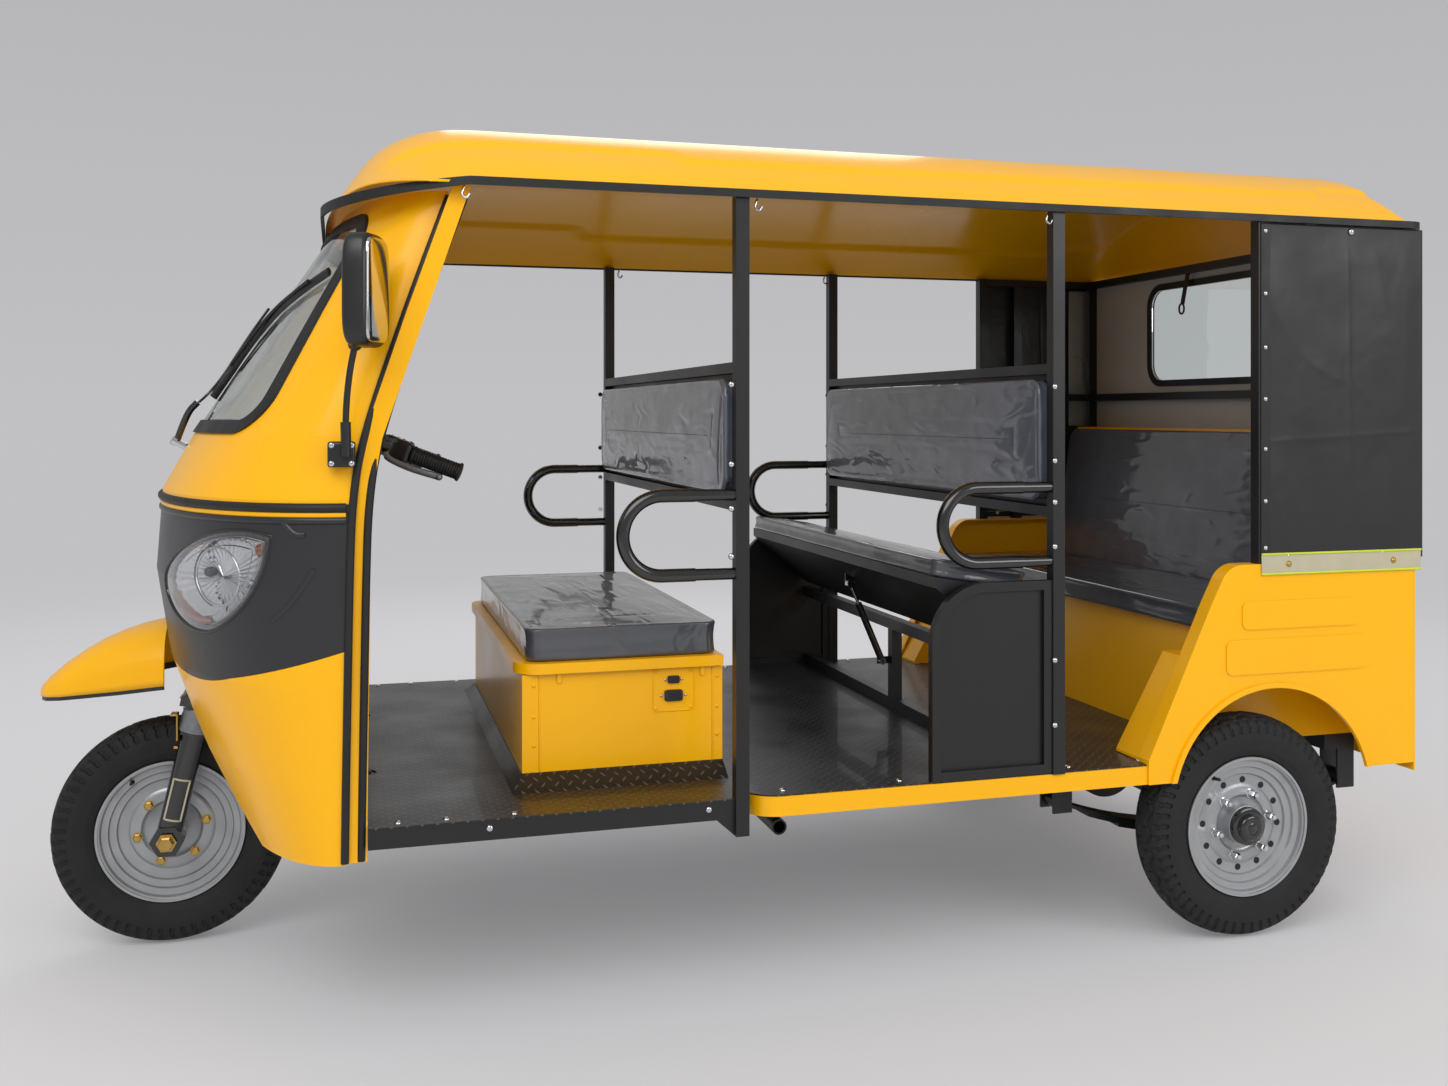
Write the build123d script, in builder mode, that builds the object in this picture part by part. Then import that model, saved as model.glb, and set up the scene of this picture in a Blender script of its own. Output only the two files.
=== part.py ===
from build123d import *
import math
import os

os.makedirs("parts", exist_ok=True)

# Enclosed electric tricycle, millimetres, +Z up, front towards -X, origin on the ground under its middle.

# Overall sizes
BEAK_REACH = 272
TAIL_REACH = 2825
WHEELBASE = 2350
BODY_HALF = 700
REAR_TRACK = 2 * (BODY_HALF - 60)
RIM_HEIGHT = 1634
ROOF_HEIGHT = 1815

# The front axle stands this far ahead of the middle of the vehicle
AXLE_X = (BEAK_REACH - TAIL_REACH) / 2


def station(behind_front_axle):
    """X of a place given by its distance behind the front axle."""
    return AXLE_X + behind_front_axle


# Wheels
TYRE_DIAMETER = 505
TYRE_WIDTH = 98
TYRE_BEAD_DIAMETER = 296
RIM_FLANGE_DIAMETER = 317
RIM_WIDTH = 82
AXLE_Z = TYRE_DIAMETER / 2
REAR_AXLE_X = station(WHEELBASE)
AXLE_FIT = 0.05
SEAT_GAP = 0.3

# Floor and sills
FLOOR_TOP = 416
FLOOR_SHEET = 3
SILL_HEIGHT = 38
SILL_WIDTH = 36
FLOOR_UNDER = FLOOR_TOP - FLOOR_SHEET
FRONT_FLOOR_START = station(385)
STEP_X = station(1160)
DECK_HALF = BODY_HALF - 5

# Posts and hoops
POST = 28
POST_Y = BODY_HALF - POST / 2
FRONT_POST_X = station(1143)
MID_POST_X = station(1856)
QUARTER_POST_X = station(2376)
WINDOW_POST_X = station(2500)
TAIL_POST_X = station(2778)
POST_TOP = RIM_HEIGHT - 4

# Nose: each row is height, front reach behind the axle, rear edge behind the axle, half width
NOSE_ROWS = (
    (347, 140, 372, BODY_HALF - 20),
    (500, 70, 374, BODY_HALF - 18),
    (680, 3, 377, BODY_HALF - 16),
    (860, -26, 380, BODY_HALF - 16),
    (1030, -14, 385, BODY_HALF - 18),
    (1150, 52, 405, BODY_HALF - 28),
    (1390, 208, 485, BODY_HALF - 44),
    (RIM_HEIGHT - 12, 362, 566, BODY_HALF - 60),
)
NOSE_SHEET = 5
BAND_TOP = 1008
COWL_START = 1022


def box_between(low, high):
    """A plain block from its lowest corner to its highest."""
    size = [b - a for a, b in zip(low, high)]
    middle = [(a + b) / 2 for a, b in zip(low, high)]
    return Pos(*middle) * Box(*size, mode=Mode.PRIVATE)


def mirrored_pair(solid):
    """The solid and its mirror image across the middle plane."""
    return [solid, mirror(solid, Plane.XZ)]


def nose_form(inset, behind=0.0):
    """The closed form of the nose, its skin moved in by inset and its back moved rearwards."""
    with BuildPart(mode=Mode.PRIVATE) as form:
        for height, front, rear, half in NOSE_ROWS:
            with BuildSketch(Plane.XY.offset(height)):
                with BuildLine():
                    centre = station(rear)
                    arc = EllipticalCenterArc(
                        (centre, 0), rear - front - inset, half - inset, 90, arc_size=180)
                    Polyline(arc @ 1, (centre + 1 + behind, -half + inset),
                             (centre + 1 + behind, half - inset), arc @ 0)
                make_face()
        loft(ruled=True)
    return form.part


nose_outer = nose_form(0)
nose_inner = nose_form(NOSE_SHEET, behind=60)
nose_skin = nose_outer - nose_inner

# Lower edge of the black band, from the side: it dips under the lamp and climbs to the pillar
with BuildPart() as band_region:
    with BuildSketch(Plane.XZ.offset(-BODY_HALF)):
        with BuildLine():
            dip = ThreePointArc((station(-40), 700), (station(60), 668), (station(160), 686))
            climb = Line(dip @ 1, (station(420), 762))
            Polyline(climb @ 1, (station(420), BAND_TOP), (station(-40), BAND_TOP), dip @ 0)
        make_face()
    extrude(amount=2 * BODY_HALF)

with BuildPart() as lower_region:
    with BuildSketch(Plane.XZ.offset(-BODY_HALF)):
        with BuildLine():
            dip = ThreePointArc((station(-40), 700 - 1), (station(60), 668 - 1), (station(160), 686 - 1))
            climb = Line(dip @ 1, (station(420), 762 - 1))
            Polyline(climb @ 1, (station(420), 300), (station(-40), 300), dip @ 0)
        make_face()
    extrude(amount=2 * BODY_HALF)

# Opening in front of the wheel, from the front: narrow at the beak, wide at the bottom
ARCH_TOP = 672
ARCH_TOP_HALF = 96
ARCH_FOOT_HALF = 520
with BuildPart() as wheel_opening:
    with BuildSketch(Plane.YZ.offset(station(-100))):
        with BuildLine():
            side = Line((ARCH_FOOT_HALF, 340), (ARCH_TOP_HALF, ARCH_TOP))
            top = Line(side @ 1, (-ARCH_TOP_HALF, ARCH_TOP))
            other = Line(top @ 1, (-ARCH_FOOT_HALF, 340))
            Line(other @ 1, side @ 0)
        make_face()
    extrude(amount=450)

with BuildPart() as nose_lower:
    add(nose_skin)
    add(lower_region.part, mode=Mode.INTERSECT)
    add(wheel_opening.part, mode=Mode.SUBTRACT)
nose_lower.part.label = "nose_lower"
export_step(nose_lower.part, "parts/nose_lower.step")

# Headlamp outline from the side, a drop with its tip towards the pillar
with BuildSketch(Plane.XZ) as lamp_outline:
    with BuildLine():
        crown = ThreePointArc((station(36), 895), (station(110), 955), (station(240), 962))
        flank = ThreePointArc(crown @ 1, (station(205), 850), (station(128), 772))
        ThreePointArc(flank @ 1, (station(55), 780), crown @ 0)
    make_face()


def lamp_prism(grow, low, high):
    """The lamp's outline grown by a margin, carried across from one side distance to another."""
    with BuildPart(mode=Mode.PRIVATE) as prism:
        with BuildSketch(Plane.XZ.offset(low)):
            add(lamp_outline.sketch)
            if grow:
                offset(amount=grow, kind=Kind.INTERSECTION)
        extrude(amount=high - low)
    return prism.part


LAMP_NEAR = 120
lamp_holes = mirrored_pair(lamp_prism(SEAT_GAP, LAMP_NEAR, BODY_HALF))

with BuildPart() as nose_band:
    add(nose_skin)
    add(band_region.part, mode=Mode.INTERSECT)
    add(lamp_holes, mode=Mode.SUBTRACT)
nose_band.part.label = "nose_band"
export_step(nose_band.part, "parts/nose_band.step")

LAMP_DEPTH = 14
lamp_form = nose_form(-2) - nose_form(LAMP_DEPTH, behind=60)
with BuildPart() as headlamps:
    add(mirrored_pair(lamp_form & lamp_prism(0, LAMP_NEAR, BODY_HALF)))
headlamps.part.label = "headlamps"
export_step(headlamps.part, "parts/headlamps.step")

# Windscreen opening from the front: its lower edge, sides leaning in, and round corners
SCREEN_FOOT = 1152
SCREEN_FOOT_HALF = 560
SCREEN_HEAD_HALF = 536
SCREEN_HEAD = RIM_HEIGHT - 38
SCREEN_CORNER = 75


def screen_prism(grow):
    """The windscreen's outline grown by a margin, carried from front to back."""
    with BuildPart(mode=Mode.PRIVATE) as prism:
        with BuildSketch(Plane.YZ.offset(station(-100))) as outline:
            with BuildLine():
                Polyline((-SCREEN_FOOT_HALF, SCREEN_FOOT), (SCREEN_FOOT_HALF, SCREEN_FOOT),
                         (SCREEN_HEAD_HALF, SCREEN_HEAD), (-SCREEN_HEAD_HALF, SCREEN_HEAD), close=True)
            make_face()
            fillet(outline.vertices(), SCREEN_CORNER)
            if grow:
                offset(amount=grow)
        extrude(amount=800)
    return prism.part


with BuildPart() as nose_upper:
    add(nose_skin)
    add(box_between((station(-60), -BODY_HALF, COWL_START),
                    (station(700), BODY_HALF, RIM_HEIGHT)), mode=Mode.INTERSECT)
    add(screen_prism(0), mode=Mode.SUBTRACT)
nose_upper.part.label = "nose_upper"
export_step(nose_upper.part, "parts/nose_upper.step")

SEAL_WIDTH = 26
GLASS_SHEET = 5
with BuildPart() as glass_seal:
    add(nose_form(-6) - nose_form(NOSE_SHEET + 6, behind=60))
    add(screen_prism(-SEAT_GAP) - screen_prism(-SEAL_WIDTH), mode=Mode.INTERSECT)

with BuildPart() as glass:
    add(nose_form(0) - nose_form(GLASS_SHEET, behind=60))
    add(screen_prism(-SEAL_WIDTH - SEAT_GAP), mode=Mode.INTERSECT)

with BuildPart() as moulding:
    add(nose_form(-5) - nose_form(NOSE_SHEET, behind=60))
    add(box_between((station(-60), -BODY_HALF, BAND_TOP + SEAT_GAP),
                    (station(700), BODY_HALF, COWL_START - SEAT_GAP)), mode=Mode.INTERSECT)

# Beak over the front wheel: side outline, plan outline and arched section meet in one shell
BEAK_SHEET = 4
with BuildPart() as beak:
    with BuildSketch(Plane.XZ.offset(-BODY_HALF)):
        with BuildLine():
            back = Line((station(1), 600), (station(-5), 728))
            brow = ThreePointArc(back @ 1, (station(-180), 664), (station(-262), 596))
            tip = ThreePointArc(brow @ 1, (station(-272), 582), (station(-266), 568))
            Line(tip @ 1, back @ 0)
        make_face()
    extrude(amount=2 * BODY_HALF)
    with BuildSketch(Plane.XY.offset(500), mode=Mode.PRIVATE) as beak_plan:
        with BuildLine():
            side = Line((station(0), 150), (station(-190), 92))
            ThreePointArc(side @ 1, (station(-272), 0), (station(-190), -92))
            Line((station(-190), -92), (station(0), -150))
            Line((station(0), -150), (station(0), 150))
        make_face()
    extrude(beak_plan.sketch, amount=300, mode=Mode.INTERSECT)
    beak_room = offset(beak.part, amount=-BEAK_SHEET, mode=Mode.PRIVATE)
    add(beak_room, mode=Mode.SUBTRACT)
    add(Pos(0, 0, -BEAK_SHEET - 1) * beak_room, mode=Mode.SUBTRACT)
beak.part.label = "front_mudguard"
export_step(beak.part, "parts/front_mudguard.step")

# Rails under the floor, the head tube and the steering axis
RAIL_Y = 300
RAIL_WIDTH = 40
RAIL_DEPTH = 60
RAKE = 13
HEAD_LOW = 590
HEAD_HIGH = 800
HEAD_OUTER = 29
DOWN_TUBE_RADIUS = 21
STEM_RADIUS = 16
rake_tan = math.tan(math.radians(RAKE))


def steer_x(height):
    """X of the steering axis at a height; the axis runs through the front axle."""
    return AXLE_X + (height - AXLE_Z) * rake_tan


rake_sin = math.sin(math.radians(RAKE))
rake_cos = math.cos(math.radians(RAKE))
steer_plane = Plane(origin=(AXLE_X, 0, AXLE_Z), x_dir=(rake_cos, 0, -rake_sin), z_dir=(rake_sin, 0, rake_cos))


def down_tubes(grow):
    """The two tubes from the head tube down to the rails, each grown by a margin."""
    foot = (station(445), RAIL_Y, FLOOR_UNDER - RAIL_DEPTH / 2)
    head = (steer_x(HEAD_LOW + 60), 0, HEAD_LOW + 60)
    with BuildPart(mode=Mode.PRIVATE) as tube:
        with BuildSketch(Plane(origin=foot, z_dir=[b - a for a, b in zip(foot, head)])):
            Circle(DOWN_TUBE_RADIUS + grow)
        extrude(amount=math.dist(foot, head))
    return mirrored_pair(tube.part)


# Front bulkhead and dash shelf behind the nose
APRON_SHEET = 3
APRON_HALF = BODY_HALF - 66
STEM_HOLE_HALF = 70
with BuildPart() as apron:
    with BuildSketch(Plane.XZ.offset(-APRON_HALF)):
        with BuildLine():
            Polyline((station(392), FLOOR_TOP), (station(300), 930), (station(110), 985),
                     (station(110), 985 + APRON_SHEET), (station(302), 930 + APRON_SHEET),
                     (station(395), FLOOR_TOP), close=True)
        make_face()
    extrude(amount=2 * APRON_HALF)
    add(box_between((station(60), -STEM_HOLE_HALF, 900), (station(262), STEM_HOLE_HALF, 1100)),
        mode=Mode.SUBTRACT)
    add(nose_form(LAMP_DEPTH + 1, behind=60), mode=Mode.INTERSECT)
    add(down_tubes(3), mode=Mode.SUBTRACT)
apron.part.label = "inner_apron"
export_step(apron.part, "parts/inner_apron.step")

# Roof: side outline, section and plan outline meet in one shell
ROOF_SHEET = 5
VISOR_X = station(333)
VISOR_CORNER = 300
TAIL_CORNER = 40
RIM_BEAD = 7
ROOF_TAIL_X = station(TAIL_REACH - RIM_BEAD)
VISOR_DROP = 34


def roof_form(inset, below=0.0):
    """The closed form of the roof, its skin moved in by inset and its underside moved down."""
    with BuildPart(mode=Mode.PRIVATE) as form:
        with BuildSketch(Plane.XZ.offset(-BODY_HALF - 20)):
            with BuildLine():
                visor = ThreePointArc(
                    (VISOR_X + inset, RIM_HEIGHT - VISOR_DROP),
                    (station(405) + inset, ROOF_HEIGHT - 93 - inset), (station(690), ROOF_HEIGHT - inset))
                crown = Line(visor @ 1, (ROOF_TAIL_X - 75, ROOF_HEIGHT - inset))
                tail = ThreePointArc(crown @ 1, (ROOF_TAIL_X - 25 - inset, ROOF_HEIGHT - 25 - inset),
                                     (ROOF_TAIL_X - inset, ROOF_HEIGHT - 90))
                Polyline(tail @ 1, (ROOF_TAIL_X - inset, RIM_HEIGHT - below),
                         (station(600), RIM_HEIGHT - below),
                         (VISOR_X + inset, RIM_HEIGHT - VISOR_DROP - below))
                if below:
                    Line((VISOR_X + inset, RIM_HEIGHT - VISOR_DROP - below), visor @ 0)
            make_face()
        extrude(amount=2 * BODY_HALF + 40)
        half = BODY_HALF + 3 - inset
        with BuildSketch(Plane.YZ.offset(station(200)), mode=Mode.PRIVATE) as section:
            with BuildLine():
                shoulder_y, shoulder_z = BODY_HALF - 100 - inset, ROOF_HEIGHT - 71 - inset
                turn_y, turn_z = BODY_HALF - 40 - inset, ROOF_HEIGHT - 103 - inset
                foot_y, foot_z = half - 10, RIM_HEIGHT + 38
                crown = ThreePointArc((-shoulder_y, shoulder_z), (0, ROOF_HEIGHT - inset),
                                      (shoulder_y, shoulder_z))
                right = ThreePointArc(crown @ 1, (turn_y, turn_z), (foot_y, foot_z))
                Polyline(right @ 1, (half, RIM_HEIGHT), (half, RIM_HEIGHT - 134), (-half, RIM_HEIGHT - 134),
                         (-half, RIM_HEIGHT), (-foot_y, foot_z))
                ThreePointArc((-foot_y, foot_z), (-turn_y, turn_z), crown @ 0)
            make_face()
        extrude(section.sketch, amount=2900, mode=Mode.INTERSECT)
        with BuildSketch(Plane.XY.offset(RIM_HEIGHT - 134), mode=Mode.PRIVATE) as plan:
            with Locations(((VISOR_X + ROOF_TAIL_X) / 2, 0)):
                Rectangle(ROOF_TAIL_X - VISOR_X - 2 * inset, 2 * half)
            fillet(plan.vertices().group_by(Axis.X)[0], VISOR_CORNER - inset)
            fillet(plan.vertices().group_by(Axis.X)[-1], TAIL_CORNER - inset)
        extrude(plan.sketch, amount=400, mode=Mode.INTERSECT)
    return form.part


with BuildPart() as roof:
    add(roof_form(0))
    add(roof_form(ROOF_SHEET, below=30), mode=Mode.SUBTRACT)
    # The rim turns in under each side, where the posts and rails bolt on
    for side in (-1, 1):
        low, high = sorted((side * (BODY_HALF - 40), side * BODY_HALF))
        add(box_between((station(640), low, POST_TOP), (ROOF_TAIL_X - 46, high, RIM_HEIGHT)))
roof.part.label = "roof_shell"
export_step(roof.part, "parts/roof_shell.step")

with BuildPart() as roof_rim:
    for amount, mode in ((RIM_BEAD, Mode.ADD), (SEAT_GAP, Mode.SUBTRACT)):
        with BuildSketch(Plane.XY.offset(RIM_HEIGHT - 74)) as rim_plan:
            with Locations(((VISOR_X + ROOF_TAIL_X) / 2, 0)):
                Rectangle(ROOF_TAIL_X - VISOR_X, 2 * BODY_HALF + 6)
            fillet(rim_plan.vertices().group_by(Axis.X)[0], VISOR_CORNER)
            fillet(rim_plan.vertices().group_by(Axis.X)[-1], TAIL_CORNER)
            offset(amount=amount)
        extrude(amount=100, mode=mode)
    with BuildSketch(Plane.XZ.offset(-BODY_HALF - 20), mode=Mode.PRIVATE) as rim_line:
        with BuildLine():
            Polyline((VISOR_X - 20, RIM_HEIGHT - VISOR_DROP - 10), (station(600), RIM_HEIGHT - 8),
                     (ROOF_TAIL_X + 20, RIM_HEIGHT - 8), (ROOF_TAIL_X + 20, RIM_HEIGHT + 8),
                     (station(600), RIM_HEIGHT + 8), (VISOR_X - 20, RIM_HEIGHT - VISOR_DROP + 10),
                     close=True)
        make_face()
    extrude(rim_line.sketch, amount=2 * BODY_HALF + 40, mode=Mode.INTERSECT)
    add(moulding.part)
roof_rim.part.label = "body_trims"
export_step(roof_rim.part, "parts/body_trims.step")

# Front pillars: box tubes behind the nose's rear edge, from the floor up to the roof rim
PILLAR_DEPTH = 34
PILLAR_Y_OUT = BODY_HALF - 24
with BuildPart() as pillars:
    with BuildSketch(Plane.XZ.offset(-PILLAR_Y_OUT)):
        with BuildLine():
            Polyline((station(374), 350), (station(387), 1030), (station(407), 1150),
                     (station(487), 1390), (station(572), RIM_HEIGHT - 5),
                     (station(572 + PILLAR_DEPTH), RIM_HEIGHT - 5),
                     (station(487 + PILLAR_DEPTH), 1380), (station(407 + PILLAR_DEPTH), 1145),
                     (station(387 + PILLAR_DEPTH), 1030), (station(379 + PILLAR_DEPTH), 350), close=True)
        make_face()
    extrude(amount=2 * PILLAR_Y_OUT)
    add(box_between((station(300), -PILLAR_Y_OUT + 40, 300),
                    (station(700), PILLAR_Y_OUT - 40, RIM_HEIGHT - 35)), mode=Mode.SUBTRACT)
    add(box_between((station(300), -BODY_HALF + 100, RIM_HEIGHT - 44),
                    (station(700), BODY_HALF - 100, RIM_HEIGHT + 6)), mode=Mode.SUBTRACT)
pillars.part.label = "front_pillars"
export_step(pillars.part, "parts/front_pillars.step")

# Chassis: sills, rails, cross members and the tie-down plates at the rails' tails
CROSS_DEPTH = 40
SPRING_Y = REAR_TRACK / 2 - 135
SPRING_WIDTH = 50
SPRING_HALF = 390
SPRING_EYE_Z = 300
SILL_IN = BODY_HALF - 10 - SILL_WIDTH
SILL_START = station(414.5)
RAIL_START = station(430)
RAIL_TAIL = station(2740)
TIE_X = station(2762)
TIE_RADIUS = 10
TIE_PLATE = 8
TIE_Z = FLOOR_UNDER - RAIL_DEPTH / 2
CROSS_MEMBERS = (
    (station(450), SILL_IN),
    (station(1105), SILL_IN),
    (MID_POST_X, SILL_IN),
    (station(2110), BODY_HALF - 155),
    (station(2690), BODY_HALF - 155),
)
with BuildPart() as rails:
    for side in (-1, 1):
        low, high = sorted((side * SILL_IN, side * (SILL_IN + SILL_WIDTH)))
        add(box_between((SILL_START, low, FLOOR_UNDER - SILL_HEIGHT),
                        (FRONT_POST_X - POST / 2, high, FLOOR_UNDER)))
        low, high = side * RAIL_Y - RAIL_WIDTH / 2, side * RAIL_Y + RAIL_WIDTH / 2
        add(box_between((RAIL_START, low, FLOOR_UNDER - RAIL_DEPTH), (RAIL_TAIL, high, FLOOR_UNDER)))
        add(box_between((RAIL_TAIL - 10, low, TIE_Z - TIE_PLATE / 2),
                        (TIE_X + 24, high, TIE_Z + TIE_PLATE / 2)))
        with BuildSketch(Plane.XY.offset(TIE_Z - TIE_PLATE)):
            with Locations((TIE_X, side * RAIL_Y)):
                Circle(TIE_RADIUS)
        extrude(amount=2 * TIE_PLATE, mode=Mode.SUBTRACT)
    for x, half in CROSS_MEMBERS:
        add(box_between((x - CROSS_DEPTH / 2, -half, FLOOR_UNDER - CROSS_DEPTH),
                        (x + CROSS_DEPTH / 2, half, FLOOR_UNDER)))
rails.part.label = "chassis_rails"
export_step(rails.part, "parts/chassis_rails.step")

# Spring hangers: two plates each side of an eye, on an outrigger from the rail
HANGER_HALF = 24
HANGER_PLATE = 6
with BuildPart() as hangers:
    for side in (-1, 1):
        eye_in = side * SPRING_Y - SPRING_WIDTH / 2 - SEAT_GAP - HANGER_PLATE
        eye_out = side * SPRING_Y + SPRING_WIDTH / 2 + SEAT_GAP
        reach = side * (SPRING_Y + SPRING_WIDTH / 2 + SEAT_GAP + HANGER_PLATE)
        low, high = sorted((side * (RAIL_Y + RAIL_WIDTH / 2), reach))
        for x in (REAR_AXLE_X - SPRING_HALF, REAR_AXLE_X + SPRING_HALF):
            for y in (eye_in, eye_out):
                add(box_between((x - HANGER_HALF, y, SPRING_EYE_Z - 26),
                                (x + HANGER_HALF, y + HANGER_PLATE, FLOOR_UNDER - CROSS_DEPTH)))
            add(box_between((x - HANGER_HALF, low, FLOOR_UNDER - CROSS_DEPTH),
                            (x + HANGER_HALF, high, FLOOR_UNDER)))
hangers.part.label = "spring_hangers"
export_step(hangers.part, "parts/spring_hangers.step")

# Steering head: the tube that the stem turns in, on two tubes from the front of the rails
head_plane = steer_plane.offset((HEAD_LOW - AXLE_Z) / rake_cos)
head_length = (HEAD_HIGH - HEAD_LOW) / rake_cos
with BuildPart() as steering_head:
    add(down_tubes(0))
    with BuildSketch(head_plane):
        Circle(HEAD_OUTER)
    extrude(amount=head_length)
    with BuildSketch(head_plane):
        Circle(STEM_RADIUS + AXLE_FIT)
    extrude(amount=head_length, mode=Mode.SUBTRACT)
    add(box_between((RAIL_START - SEAT_GAP, -BODY_HALF, 300), (RAIL_START + 200, BODY_HALF, 500)),
        mode=Mode.SUBTRACT)
steering_head.part.label = "steering_head"
export_step(steering_head.part, "parts/steering_head.step")

# Cross tube hung under the rails behind the driver, with its two arms
CROSS_TUBE_X = station(1335)
CROSS_TUBE_Z = 242
CROSS_TUBE_RADIUS = 18
CROSS_TUBE_HALF = RAIL_Y + 55
ARM_WIDTH = 30
ARM_PLATE = 8
with BuildPart() as cross_tube:
    with BuildSketch(Plane.XZ.offset(-CROSS_TUBE_HALF)):
        with Locations((CROSS_TUBE_X, CROSS_TUBE_Z)):
            Circle(CROSS_TUBE_RADIUS)
    extrude(amount=2 * CROSS_TUBE_HALF)
    for side in (-1, 1):
        low, high = side * RAIL_Y - ARM_PLATE / 2, side * RAIL_Y + ARM_PLATE / 2
        add(box_between((CROSS_TUBE_X - ARM_WIDTH / 2, low, CROSS_TUBE_Z),
                        (CROSS_TUBE_X + ARM_WIDTH / 2, high, FLOOR_UNDER - RAIL_DEPTH)))
    with BuildSketch(Plane.XZ.offset(-CROSS_TUBE_HALF)):
        with Locations((CROSS_TUBE_X, CROSS_TUBE_Z)):
            Circle(CROSS_TUBE_RADIUS - 4)
    extrude(amount=2 * CROSS_TUBE_HALF, mode=Mode.SUBTRACT)
cross_tube.part.label = "cross_tube"
export_step(cross_tube.part, "parts/cross_tube.step")

# Floors: sheet in front with a raised foot round the seat box, mat and yellow sill behind
BOX_FRONT = station(728)
BOX_REAR = station(1160)
BOX_HALF = BODY_HALF - 210
BOX_FOOT = 445
with BuildPart() as front_floor:
    add(box_between((FRONT_FLOOR_START + 30, -DECK_HALF + 3, FLOOR_UNDER),
                    (STEP_X - SEAT_GAP, DECK_HALF - 3, FLOOR_TOP)))
    with BuildSketch(Plane.XY.offset(FLOOR_TOP)):
        with Locations(((BOX_FRONT - 26 + STEP_X - SEAT_GAP) / 2, 0)):
            Rectangle(STEP_X - SEAT_GAP - BOX_FRONT + 26, 2 * BOX_HALF + 100)
    with BuildSketch(Plane.XY.offset(BOX_FOOT)):
        with Locations(((BOX_FRONT - 4 + STEP_X - SEAT_GAP) / 2, 0)):
            Rectangle(STEP_X - SEAT_GAP - BOX_FRONT + 4, 2 * BOX_HALF + 8)
    loft(ruled=True)
    add(down_tubes(3), mode=Mode.SUBTRACT)
    for side in (-1, 1):
        low, high = sorted((side * (POST_Y - POST / 2 - SEAT_GAP), side * (BODY_HALF + 1)))
        add(box_between((FRONT_POST_X - POST / 2 - SEAT_GAP, low, FLOOR_UNDER - 1),
                        (STEP_X + 1, high, FLOOR_TOP + 1)), mode=Mode.SUBTRACT)
front_floor.part.label = "front_floor"
export_step(front_floor.part, "parts/front_floor.step")

RISER_X = station(2285)
WELL_IN = BODY_HALF - 137
DECK_CORNER = 70
SILL_DROP = 40
QUARTER_FRONT = station(2078)
with BuildPart() as rear_floor:
    with BuildSketch(Plane.XY.offset(FLOOR_UNDER)) as deck_plan:
        with Locations(((STEP_X + RISER_X) / 2, 0)):
            Rectangle(RISER_X - STEP_X, 2 * DECK_HALF - 8)
        fillet(deck_plan.vertices().group_by(Axis.X)[0], DECK_CORNER)
    extrude(amount=FLOOR_SHEET)
    for side in (-1, 1):
        low, high = sorted((side * (WELL_IN - SEAT_GAP), side * BODY_HALF))
        add(box_between((QUARTER_FRONT - SEAT_GAP, low, FLOOR_UNDER - 1), (RISER_X + 9, high, FLOOR_TOP + 1)),
            mode=Mode.SUBTRACT)
        low, high = sorted((side * (POST_Y - POST / 2 - SEAT_GAP), side * (BODY_HALF + 1)))
        add(box_between((MID_POST_X - POST / 2 - SEAT_GAP, low, FLOOR_UNDER - 1),
                        (MID_POST_X + POST / 2 + SEAT_GAP, high, FLOOR_TOP + 1)), mode=Mode.SUBTRACT)
rear_floor.part.label = "rear_floor"
export_step(rear_floor.part, "parts/rear_floor.step")

with BuildPart() as deck_sill:
    for amount, mode in ((0, Mode.ADD), (-4, Mode.SUBTRACT)):
        with BuildSketch(Plane.XY.offset(FLOOR_UNDER - SILL_DROP)) as sill_plan:
            with Locations(((STEP_X + QUARTER_FRONT) / 2 + 100, 0)):
                Rectangle(QUARTER_FRONT - STEP_X + 200, 2 * DECK_HALF)
            fillet(sill_plan.vertices().group_by(Axis.X)[0], DECK_CORNER)
            if amount:
                offset(amount=amount)
        extrude(amount=SILL_DROP, mode=mode)
    add(box_between((QUARTER_FRONT - SEAT_GAP, -BODY_HALF, 300), (station(2600), BODY_HALF, 500)),
        mode=Mode.SUBTRACT)
    # The rails pass through the open middle of the front edge
    add(box_between((STEP_X - 1, -RAIL_Y - 45, 300), (STEP_X + 9, RAIL_Y + 45, 500)), mode=Mode.SUBTRACT)
deck_sill.part.label = "rear_sill"
export_step(deck_sill.part, "parts/rear_sill.step")


def tube_loop(front_x, post_face, low, high, side_y, radius):
    """A grab bar: two straight bars from the post joined by a half round."""
    middle = (low + high) / 2
    bend = (high - low) / 2
    with BuildPart(mode=Mode.PRIVATE) as loop:
        with BuildLine() as path:
            upper = Line((post_face, side_y, high), (front_x + bend, side_y, high))
            turn = ThreePointArc(upper @ 1, (front_x, side_y, middle), (front_x + bend, side_y, low))
            Line(turn @ 1, (post_face, side_y, low))
        with BuildSketch(Plane(origin=(post_face, side_y, high), z_dir=(-1, 0, 0))):
            Circle(radius)
        sweep()
    return loop.part


GRAB_RADIUS = 12
with BuildPart() as grab_bars:
    for front_x, post_x, low, high in (
            (station(900), FRONT_POST_X, 869, 1028), (station(1588), MID_POST_X, 873, 1033)):
        for side in (-1, 1):
            add(tube_loop(front_x, post_x - POST / 2, low, high, side * POST_Y, GRAB_RADIUS))
grab_bars.part.label = "grab_bars"
export_step(grab_bars.part, "parts/grab_bars.step")

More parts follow.
